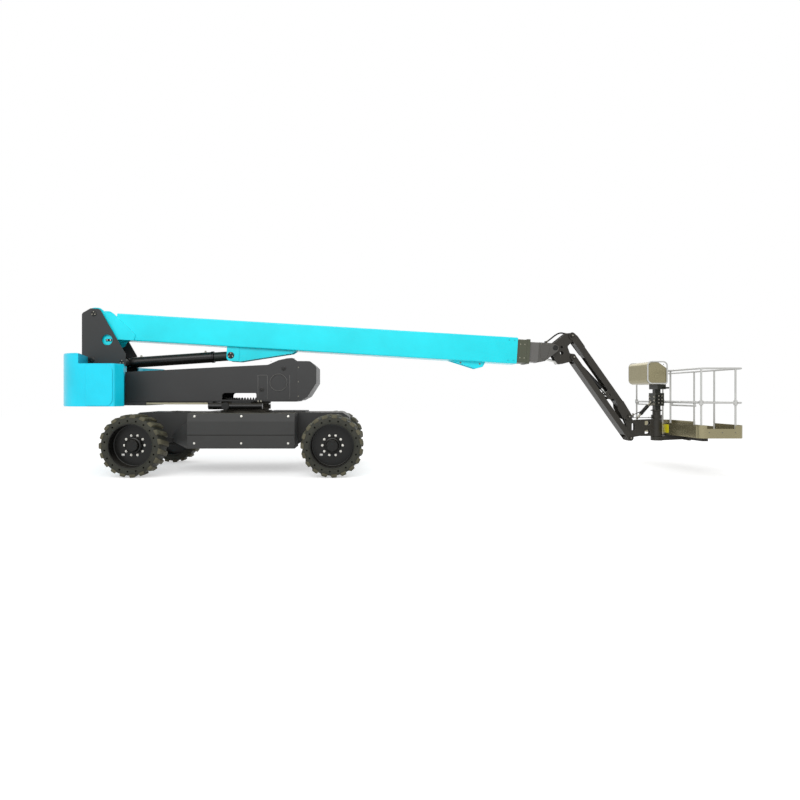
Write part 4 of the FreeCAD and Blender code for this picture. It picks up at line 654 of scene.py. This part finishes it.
for side, hand in SIDES:
    skirt = side_plate(f"deck_skirt_{hand}", side, SKIRT_SPAN, (0.436, 0.4495), (1.222, 1.2615),
                       "turntable", TURNTABLE_GREY, 0.003)
    choose(skirt, lambda centre: abs(centre.y) > 0.448)
    bpy.ops.mesh.inset(thickness=0.008)
    bpy.ops.mesh.extrude_region_shrink_fatten(TRANSFORM_OT_shrink_fatten={"value": -0.003})
    bpy.ops.object.mode_set(mode="OBJECT")
    side_plate(f"deck_skirt_lip_{hand}", side, SKIRT_SPAN, (0.44, 0.4515), (1.213, 1.244),
               "turntable", SKIRT_BEIGE, 0.003)
    for x, z in ((0.765, 1.863), (0.370, 1.483)):
        lathed(f"boss_disc_{hand}_{round(x * 1000)}", BOSS_DISC, (SLEW_AXIS + x, side * BOSS_FACE, z),
               (0, side, 0), 32, "turntable", PIN_STEEL)
    for name, x0, x1, z0, z1 in RIBS:
        side_plate(f"side_{name}_{hand}", side, (SLEW_AXIS + x0, SLEW_AXIS + x1),
                   (SIDE_FACE - 0.001, SIDE_FACE + 0.005), (z0, z1), "turntable",
                   RIB_HIGHLIGHT_GREY, 0.0024)
    lathed(f"dish_ring_{hand}", DISH_RING, (SLEW_AXIS + 0.675, side * (SIDE_FACE + 0.006), 1.607),
           (0, side, 0), 72, "turntable", RIB_HIGHLIGHT_GREY, True)
side_screws("front_cover_screws", [(COVER_EDGE, SIDE_FACE, z) for z in (1.36, 1.62, 1.88)], 0.013,
            "turntable", SCREW_STEEL)
side_screws("deck_edge_screws", [(SLEW_AXIS + x, 0.4485, 1.242) for x in (-1.66, -1.3, -0.98, -0.67)],
            0.012, "turntable", SCREW_STEEL)
SHEET_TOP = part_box("turntable_top_cover")[1].z - 0.002
screws("top_cover_screws", [(SLEW_AXIS + x, y, SHEET_TOP) for x in (-0.2, 0.4, 0.95) for y in (-0.4, 0.4)],
       (0, 0, 1), 0.014, "turntable", SCREW_STEEL)


# ---------------------------------------- tower pins
# The boom's pivot pin and the lift cylinder's base pin, blackened steel. Each end carries a round
# retaining disc that three screws hold to the tower plate.
recoat(PIN_STEEL, "turntable_pins")
PIVOT, LIFT_BASE = (SLEW_AXIS - 2.745, 2.878), (SLEW_AXIS - 2.231, 1.985)
PIN_DISC = [(0, 0), (0.046, 0), (0.046, 0.003), (0.042, 0.0045), (0.018, 0.0045), (0.016, 0.0015),
            (0, 0.0015)]
TOWER_PLUG = [(0, -0.002), (0.052, -0.002), (0.052, 0.003), (0.046, 0.006), (0.012, 0.006), (0.010, 0.002),
              (0, 0.002)]
TAIL_FACE = 0.2165
for (x, z), spot, end in ((PIVOT, "pivot", 0.2755), (LIFT_BASE, "lift", 0.2685)):
    for side, hand in SIDES:
        lathed(f"{spot}_pin_disc_{hand}", PIN_DISC, (x, side * end, z), (0, side, 0), 40, "turntable",
               PIN_STEEL)
    ring = [(x + right, end + 0.0044, z + up) for right, up in around(3, 0.031, math.pi / 2)]
    side_screws(f"{spot}_pin_screws", ring, 0.012, "turntable", FITTING_STEEL)
for side, hand in SIDES:
    lathed(f"tower_plug_{hand}", TOWER_PLUG, (SLEW_AXIS - 2.781, side * 0.268, 2.025), (0, side, 0), 40,
           "turntable", PIN_STEEL)
    side_plate(f"hose_clamp_{hand}", side, (SLEW_AXIS - 2.545, SLEW_AXIS - 2.435),
               (TAIL_FACE - 0.002, TAIL_FACE + 0.009), (2.372, 2.418), "base_section",
               PIN_STEEL, 0.003)
side_screws("hose_clamp_screws", [(SLEW_AXIS + x, TAIL_FACE + 0.0088, 2.395) for x in (-2.52, -2.46)],
            0.014, "base_section", BRIGHT_ZINC)


# ---------------------------------------- counterweight and engine
# One casting under thick gloss blue paint, so its skin is wavy and its edges are full. Four plugs
# at the back close its screw holes. The engine is a plain casting under the covers.


def thick_paint(name, colour, depth):
    """Gloss topcoat under a clear coat, with slow waves depth metres deep."""
    material = painted(name, colour, 0.26, 0.12, 0.35, tuple(c * 0.72 for c in colour))
    tree = material.node_tree
    bump = next(node for node in tree.nodes if node.type == "BUMP")
    start = Maths(tree, None)
    waves = noise(start, 9.0, 3.0) * 0.8 + noise(start, 60.0, 2.0) * 0.2
    tree.links.new(waves.socket, bump.inputs["Height"])
    bump.inputs["Distance"].default_value = depth
    return material


WEIGHT_BLUE = thick_paint("counterweight_paint", (8, 226, 255), 0.004)
ENGINE_ALLOY = cast("engine_alloy", (120, 119, 114))
recoat(WEIGHT_BLUE, "counterweight")
recoat(ENGINE_ALLOY, "engine")
WEIGHT_PLUG = [(0, 0), (0.044, 0), (0.044, 0.004), (0.040, 0.007), (0.024, 0.007), (0.021, 0.0), (0, 0.0)]
WEIGHT_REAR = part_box("counterweight")[0].x + 0.0075
for side, hand in SIDES:
    for z in (1.36, 1.72):
        lathed(f"weight_plug_{hand}_{round(z * 100)}", WEIGHT_PLUG, (WEIGHT_REAR, side * 0.42, z), (-1, 0, 0),
               36, "turntable", WEIGHT_BLUE)


# ---------------------------------------- ground controls
# Plain steel box on the turntable's left side with its lid screwed on, two rows of toggle switches
# and a red stop button, all without lettering.
CONTROL_BLACK = painted("control_box_paint", (34, 34, 35), 0.45, 0.3)
STOP_RED = painted("stop_button_plastic", (186, 24, 20), 0.28, 0.15, 0.0, (150, 30, 26))
recoat(CONTROL_BLACK, "ground_controls")
BOX_LOW, BOX_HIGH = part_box("ground_controls")
screws("ground_box_screws", [(x, BOX_HIGH.y - 0.001, z) for x in (BOX_LOW.x + 0.02, BOX_HIGH.x - 0.02)
                             for z in (BOX_LOW.z + 0.02, BOX_HIGH.z - 0.02)], (0, 1, 0), 0.010,
       "turntable", SCREW_STEEL)


def toggles(name, places, direction, body):
    """Toggle switches: threaded collar, nut and a waisted lever that ends in a ball."""
    profile = [(0, 0), (0.010, 0), (0.010, 0.005), (0.006, 0.006), (0.006, 0.010), (0.003, 0.011),
               (0.002, 0.016), (0.0035, 0.026), (0.0025, 0.030), (0, 0.031)]
    made = lathed(name, profile, (0, 0, 0), (0, 0, 1), 16, body, FITTING_STEEL)
    repeated(made, [facing(place, direction) for place in places], name, body)


def stop_button(name, place, direction, body):
    """Mushroom button on its collar."""
    profile = [(0, 0), (0.014, 0), (0.014, 0.012), (0.021, 0.014), (0.0225, 0.019), (0.019, 0.026),
               (0.008, 0.029), (0, 0.0295)]
    lathed(name, profile, place, direction, 32, body, STOP_RED)


toggles("ground_toggles", [(BOX_LOW.x + 0.06 + 0.045 * n, BOX_HIGH.y - 0.003, z) for n in range(5)
                           for z in (BOX_LOW.z + 0.08, BOX_LOW.z + 0.14)], (0, 1, 0), "turntable")
stop_button("ground_stop", (BOX_HIGH.x - 0.06, BOX_HIGH.y - 0.003, BOX_HIGH.z - 0.06), (0, 1, 0), "turntable")


# ---------------------------------------- boom sections
# Three box sections, one inside the other. The base is gloss bright blue, the middle dull olive and
# the inner grey. Screws at each mouth hold the wear pads that the sections slide on.
BOOM_BLUE = thick_paint("boom_paint", (12, 240, 255), 0.0009)
MID_OLIVE = painted("mid_section_paint", (86, 89, 73), 0.36, 0.15)
TIP_GREY = painted("tip_section_paint", (112, 110, 107), 0.36, 0.15)
JIB_GREY = painted("jib_paint", (52, 49, 43), 0.34, 0.15)
recoat(BOOM_BLUE, "boom_base", "boom_tail", "lift_bracket")
recoat(MID_OLIVE, "boom_mid")
recoat(TIP_GREY, "boom_tip")
NOSE_GREY = painted("nose_paint", (92, 90, 86), 0.36, 0.2)
recoat(NOSE_GREY, "boom_nose")
DROOP = math.radians(3.45)


def on_boom(along, above, y=0.0):
    """Place on the boom, given along and above its pivot, before the droop it rests at."""
    return Vector((PIVOT[0] + along * math.cos(DROOP) + above * math.sin(DROOP), y,
                   PIVOT[1] - along * math.sin(DROOP) + above * math.cos(DROOP)))


BASE_FRONT, MID_FRONT, TIP_FRONT, CENTRE = 7.823, 8.053, 8.229, -0.205
NOSE_PIN, EYE = (8.539, -0.104), (2.526, -0.606)
NOSE_DISC = [(0, -0.005), (0.05, -0.005), (0.05, 0.0), (0.045, 0.0022), (0.014, 0.0022), (0.012, -0.001),
             (0, -0.001)]
EYE_DISC = [(0, -0.004), (0.062, -0.004), (0.062, 0.006), (0.056, 0.009), (0.02, 0.009), (0.017, 0.004),
            (0, 0.004)]
side_screws("mid_pad_screws", [on_boom(MID_FRONT - back, CENTRE + up, 0.1755)
                               for back in (0.09, 0.17) for up in (0.125, -0.125)],
            0.012, "mid_section", FITTING_STEEL)
side_screws("base_pad_screws", [on_boom(BASE_FRONT - back, CENTRE + up, 0.2005)
                                for back in (0.06, 0.16) for up in (0.19, -0.19)],
            0.017, "base_section", BOOM_BLUE)
side_screws("cable_guide_screws", [on_boom(BASE_FRONT - back, CENTRE - 0.279, 0.1105)
                                   for back in (1.02, 0.66)],
            0.02, "base_section", SCREW_STEEL)
side_screws("nose_screws", [on_boom(TIP_FRONT + ahead, CENTRE + 0.16, 0.1505) for ahead in (0.05, 0.15)],
            0.014, "tip_section", SCREW_STEEL)
NOSE, LIFT_EYE, EYE_FACE = on_boom(*NOSE_PIN), on_boom(*EYE), 0.1395
for side, hand in SIDES:
    lathed(f"nose_pin_disc_{hand}", NOSE_DISC, (NOSE.x, side * 0.1525, NOSE.z), (0, side, 0), 36,
           "tip_section", PIN_STEEL)
    lathed(f"lift_eye_disc_{hand}", EYE_DISC, (LIFT_EYE.x, side * EYE_FACE, LIFT_EYE.z), (0, side, 0), 40,
           "base_section", PIN_STEEL)
side_screws("lift_eye_screws", [(LIFT_EYE.x + right, EYE_FACE + 0.0085, LIFT_EYE.z + up)
                                for right, up in around(3, 0.04, math.pi / 2)],
            0.014, "base_section", FITTING_STEEL)


# ---------------------------------------- lift and level cylinders
# Gloss black barrels with a screwed gland at the mouth and a port boss at each end. The lift
# cylinder's rod is painted olive, the level and jib cylinders' are hard chrome.
ROD_OLIVE = painted("rod_head_paint", (30, 38, 34), 0.34, 0.15)
recoat(GLOSS_BLACK, "lift_barrel", "level_barrel", "jib_barrel")
recoat(ROD_OLIVE, "lift_rod")
recoat(CHROME, "level_rod", "jib_rod")


def cylinder_trim(name, base, tip, radius, length, body):
    """Gland ring round the barrel's mouth and a port boss near either end, hex on a thin barrel."""
    base, tip = Vector((base[0], 0, base[1])), Vector((tip[0], 0, tip[1]))
    axis = (tip - base).normalized()
    mouth = base + axis * length
    gland = [(0.0035, -0.052), (0.008, -0.050), (0.008, -0.030), (0.0045, -0.026), (0.008, -0.022),
             (0.008, -0.004), (0.0035, -0.002)]
    lathed(f"{name}_gland", [(radius + out, h) for out, h in gland], mouth, axis, 48, body,
           GLOSS_BLACK, True)
    across = axis.cross(Vector((0, 1, 0))).normalized()
    across = across if across.z > 0 else -across
    boss = [(0, -0.15), (0.2, -0.15), (0.2, 0.16), (0.13, 0.18), (0.13, 0.3), (0, 0.3)]
    for part, share in (("rear", 0.16), ("front", 0.9)):
        lathed(f"{name}_port_{part}", [(radius * r, radius * h) for r, h in boss],
               base + axis * length * share + across * radius, across, 6 if radius < 0.05 else 24, body,
               FITTING_STEEL)


cylinder_trim("lift", LIFT_BASE, LIFT_EYE.xz, 0.1, 1.636, "lift_barrel")
LEVEL_START = on_boom(NOSE_PIN[0] - 0.75, NOSE_PIN[1] - 0.08)
LEVEL_END = NOSE + Vector((0.1, 0, -0.264))
cylinder_trim("level", LEVEL_START.xz, LEVEL_END.xz, 0.038, 0.45, "level_barrel")


# ---------------------------------------- jib and knuckle
# Parallelogram of box and channel links on a plate knuckle, satin dark grey, with the jib cylinder
# lying between them. Every pin ends in a black retaining disc under one bright screw.
recoat(JIB_GREY, "jib_knuckle", "jib_upper_arm", "jib_lower_arm")
JIB_ANGLE, JIB_LENGTH = math.radians(-54.85), 1.846
DOWN_JIB = Vector((math.cos(JIB_ANGLE), 0, math.sin(JIB_ANGLE)))
OVER_JIB = Vector((-math.sin(JIB_ANGLE), 0, math.cos(JIB_ANGLE)))
UPPER, LOWER = NOSE + Vector((0.330, 0, 0.230)), NOSE + Vector((0.357, 0, -0.170))
ROD_EYE = UPPER + DOWN_JIB * 1.311 - OVER_JIB * 0.063
cylinder_trim("jib", LOWER.xz, ROD_EYE.xz, 0.0405, 0.8, "jib_barrel")
REACH = DOWN_JIB * JIB_LENGTH
END_DISC = [(0, -0.003), (0.027, -0.003), (0.027, 0.003), (0.024, 0.0045), (0, 0.0045)]
for name, place, node, body in (("upper_root", UPPER, "jib_knuckle", "knuckle"),
                                ("lower_root", LOWER, "jib_knuckle", "knuckle"),
                                ("upper_end", UPPER + REACH, "platform_bracket", "bracket"),
                                ("lower_end", LOWER + REACH, "platform_bracket", "bracket")):
    for side, hand in SIDES:
        face = Vector((place.x, side * (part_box(node)[1].y - 0.001), place.z))
        lathed(f"{name}_pin_disc_{hand}", END_DISC, face, (0, side, 0), 32, body, PIN_STEEL)
        screws(f"{name}_pin_screw_{hand}", [face + Vector((0, side * 0.0044, 0))], (0, side, 0), 0.015, body,
               FITTING_STEEL)

# Folded strap across the knuckle that holds the nose hose's lower fitting.
HOSE_X, HOSE_Z = NOSE_ROUTE[0][0], NOSE_ROUTE[0][2]
plate_piece("nose_hose_strap", (HOSE_X - 0.018, -0.03, HOSE_Z - 0.022), (NOSE.x - 0.01, 0.03, HOSE_Z - 0.016),
            "knuckle", JIB_GREY, 0.001)
plate_piece("nose_hose_strap_tie", (NOSE.x - 0.04, -0.065, HOSE_Z - 0.023),
            (NOSE.x - 0.005, 0.065, HOSE_Z - 0.015), "knuckle", JIB_GREY, 0.001)
for side, hand in SIDES:
    side_plate(f"nose_hose_hook_{hand}", side, (HOSE_X - 0.012, HOSE_X + 0.03), (0.014, 0.019),
               (HOSE_Z - 0.02, HOSE_Z + 0.03), "knuckle", JIB_GREY, 0.001)


# ---------------------------------------- rotator and valve block
# Rotary actuator between two bracket plates, with the platform's hydraulic valve block above its
# cap: a dark manifold with screw-in solenoid valves, plated unions and the hose and cable entries.
VALVE_OLIVE = painted("valve_block", (40, 42, 33), 0.3, 0.2, 0.0, (120, 116, 92))
COIL_BLACK = rubber("coil_plastic", (22, 22, 21), (38, 37, 33), 0.4)
recoat(JIB_GREY, "platform_bracket", "platform_rotator", "platform_support")
recoat(VALVE_OLIVE, "console_post")
BLOCK_REAR, BLOCK_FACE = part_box("console_post")[0].x, 0.115
ROTATOR_LOW, ROTATOR_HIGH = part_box("platform_rotator")
ROTOR = (ROTATOR_LOW + ROTATOR_HIGH) / 2
COIL = [(0, 0), (0.012, 0), (0.012, 0.006), (0.021, 0.007), (0.022, 0.010), (0.022, 0.040), (0.020, 0.043),
        (0.011, 0.044), (0.010, 0.052), (0.005, 0.055), (0, 0.055)]
VALVES = [(BLOCK_REAR + 0.038 + 0.058 * n, BLOCK_FACE - 0.001, z)
          for n in range(2) for z in (1.235, 1.300, 1.365)]
for side, hand in SIDES:
    coil = lathed("coil", COIL, (0, 0, 0), (0, 0, 1), 28, "platform", COIL_BLACK)
    repeated(coil, [facing((x, side * y, z), (0, side, 0)) for x, y, z in VALVES], f"valve_coils_{hand}",
             "platform")
side_screws("valve_nuts", [(x, y + 0.054, z) for x, y, z in VALVES], 0.013, "platform",
            FITTING_STEEL)
UNION = [(0, -0.02), (0.017, -0.02), (0.017, 0.012), (0.013, 0.014), (0.013, 0.024), (0.018, 0.026),
         (0.018, 0.044), (0.014, 0.046), (0, 0.046)]


def union(name, route, scale=1.0):
    """Plated union along a hose's own line, from its end to the valve block's face."""
    end, ahead = Vector(route[0]), Vector(route[1])
    away = (end - ahead).normalized()
    lathed(name, [(r * scale, h) for r, h in UNION], end + away * 0.012, away, 24, "platform",
           FITTING_STEEL)


union("platform_hose_union", DROP_ROUTE)
union("platform_cable_union", CABLE_ROUTE, 0.62)
union("platform_hose_low_union", DROP_ROUTE[::-1])
union("platform_cable_low_union", CABLE_ROUTE[::-1], 0.62)
# Folded arm from the column that both lower ends are bolted through.
ARM_Z, ARM_END = DROP_ROUTE[-1][2] - 0.024, CABLE_ROUTE[-1][0] - 0.023
plate_piece("hose_arm", (ARM_END, -0.062, ARM_Z), (ROTOR.x - 0.06, 0.048, ARM_Z + 0.008), "platform",
            JIB_GREY, 0.002)
plate_piece("hose_arm_lip", (ARM_END, -0.062, ARM_Z), (ARM_END + 0.008, -0.020, CABLE_ROUTE[-1][2] + 0.022),
            "platform", JIB_GREY, 0.002)
screws("hose_arm_screws", [(ROTOR.x - 0.13, y, ARM_Z + 0.0075) for y in (-0.045, 0.03)], (0, 0, 1), 0.014,
       "platform", SCREW_STEEL)
screws("valve_plugs", [(BLOCK_REAR + 0.001, y, z) for y in (-0.08, 0.075) for z in (1.21, 1.28, 1.35)],
       (-1, 0, 0), 0.022, "platform", FITTING_STEEL)
screws("rotator_cap_screws", [(ROTOR.x + x, y, ROTATOR_HIGH.z - 0.001) for x, y in around(8, 0.078)],
       (0, 0, 1), 0.014, "platform", SCREW_STEEL)


# ---------------------------------------- platform floor and toe boards
# Steel floor with a raised anti-slip pattern inside bent toe boards, all in a warm metallic paint.
# Screws tie the boards to the rail posts, and a blank yellow plate hangs on the machine side.


def metallic(name, colour, tread=False):
    """Warm metallic paint that mirrors softly, brushed by shoes; the floor has raised lozenges."""
    material = painted(name, colour, 0.2, 0.2, 0.0, tuple(min(255, c * 1.25) for c in colour))
    tree = material.node_tree
    shader = next(node for node in tree.nodes if node.type == "BSDF_PRINCIPLED")
    shader.inputs["Metallic"].default_value = 0.7
    bump = next(node for node in tree.nodes if node.type == "BUMP")
    bump.inputs["Distance"].default_value = 0.00002
    if tread:
        start = Maths(tree, None)
        lozenges = [start.node("ShaderNodeTexWave", {"bands_direction": "DIAGONAL"},
                               {"Vector": stretched(start, (way, 1, 0)), "Scale": 14.0}, "Fac")
                    for way in (1, -1)]
        raised = start.node("ShaderNodeClamp", inputs={"Value": (lozenges[0] * lozenges[1] - 0.55) * 6.0})
        tree.links.new(raised.socket, bump.inputs["Height"])
        bump.inputs["Distance"].default_value = 0.002
    return material


PLATFORM_METAL = metallic("platform_metal", (158, 150, 118))
FLOOR_METAL = metallic("floor_metal", (146, 140, 118), tread=True)
PLATE_YELLOW = painted("blank_plate_yellow", (240, 226, 36), 0.35, 0.1, 0.0, (214, 200, 60))
recoat(PLATFORM_METAL, "toe_boards")
recoat(FLOOR_METAL, "platform_floor")
TOE_LOW, TOE_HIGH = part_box("toe_boards")
TOE_SCREWS = (5.20, 5.42, 5.64)
plate_piece("toe_board_blank_plate", (TOE_LOW.x - 0.003, -0.2, TOE_LOW.z + 0.03),
            (TOE_LOW.x + 0.0005, 0.0, TOE_LOW.z + 0.19), "platform", PLATE_YELLOW, 0.001)
screws("blank_plate_screws", [(TOE_LOW.x - 0.0028, y, z) for y in (-0.19, -0.01)
                              for z in (TOE_LOW.z + 0.04, TOE_LOW.z + 0.18)], (-1, 0, 0), 0.007, "platform",
       SCREW_STEEL)
side_screws("toe_board_screws", [(x, TOE_HIGH.y - 0.0005, TOE_LOW.z + 0.10) for x in TOE_SCREWS], 0.012,
            "platform", SCREW_STEEL)


# ---------------------------------------- guard rails
# Round steel tube sprayed light grey: top and mid rails on coped posts, and a sliding drop bar at
# each side entry. A weld bead runs round the foot of each post.
RAIL_WHITE = painted("rail_paint", (214, 214, 210), 0.25, 0.12, 0.0, (150, 148, 142), 0.5)
recoat(RAIL_WHITE, "platform_rails", "mid_rails", "rail_posts", "entry_bar_right", "entry_bar_left",
       "console_frame")
RAIL_LOW, RAIL_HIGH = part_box("platform_rails")
FLOOR_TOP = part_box("platform_floor")[1].z
CORNER_IN, TUBE = 0.029, 0.016
NEAR_X, FAR_X, RAIL_Y = RAIL_LOW.x + TUBE, RAIL_HIGH.x - TUBE, RAIL_HIGH.y - TUBE
POSTS = [(NEAR_X + CORNER_IN, side * (RAIL_Y - CORNER_IN)) for side in (-1, 1)]
POSTS += [(TOE_HIGH.x - 0.16, side * RAIL_Y) for side in (-1, 1)]
POSTS += [(FAR_X, y) for y in (-0.34, 0.26)] + [(NEAR_X, y) for y in (-0.215, 0.215)]
BEAD = [(0.0145, 0.0), (0.0168, 0.0), (0.0168, 0.005), (0.0162, 0.014), (0.0155, 0.02), (0.0145, 0.024)]
foot = lathed("foot", BEAD, (0, 0, 0), (0, 0, 1), 28, "platform", RAIL_WHITE, True)
repeated(foot, [Matrix.Translation((x, y, FLOOR_TOP)) for x, y in POSTS], "post_foot_rings", "platform")


# ---------------------------------------- platform console
# Folded sheet console in the platform's metallic paint. The side that faces the operator carries
# two joysticks with bellows, a row of toggle switches and a stop button.
recoat(PLATFORM_METAL, "control_console")
CONSOLE_LOW, CONSOLE_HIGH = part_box("control_console")
PANEL_BLACK = painted("console_panel", (38, 38, 38), 0.35, 0.2)
plate_piece("console_panel_sheet", (CONSOLE_HIGH.x - 0.001, -0.27, CONSOLE_LOW.z + 0.10),
            (CONSOLE_HIGH.x + 0.0025, 0.27, CONSOLE_LOW.z + 0.30), "platform",
            PANEL_BLACK, 0.001)
PANEL_FACE = CONSOLE_HIGH.x + 0.002
BELLOWS = [(0, 0)] + [(0.034 - 0.0035 * n - (0.004 if n % 2 else 0), 0.004 + 0.005 * n) for n in range(6)]
STICK = BELLOWS + [(0.007, 0.036), (0.007, 0.052), (0.013, 0.056), (0.016, 0.066), (0.014, 0.082), (0, 0.086)]
for y, name in ((-0.18, "drive"), (0.18, "boom")):
    lathed(f"{name}_joystick", STICK, (PANEL_FACE, y, CONSOLE_LOW.z + 0.19), (1, 0, 0.25), 36, "platform",
           COIL_BLACK)
toggles("console_toggles", [(PANEL_FACE, -0.06 + 0.04 * n, CONSOLE_LOW.z + 0.24) for n in range(4)],
        (1, 0, 0), "platform")
stop_button("console_stop", (PANEL_FACE, 0.0, CONSOLE_LOW.z + 0.15), (1, 0, 0), "platform")
side_screws("console_side_screws", [(x, CONSOLE_HIGH.y - 0.0005, z)
                                    for x in (4.62, 4.87) for z in (1.62, 1.94)],
            0.010, "platform", SCREW_STEEL)
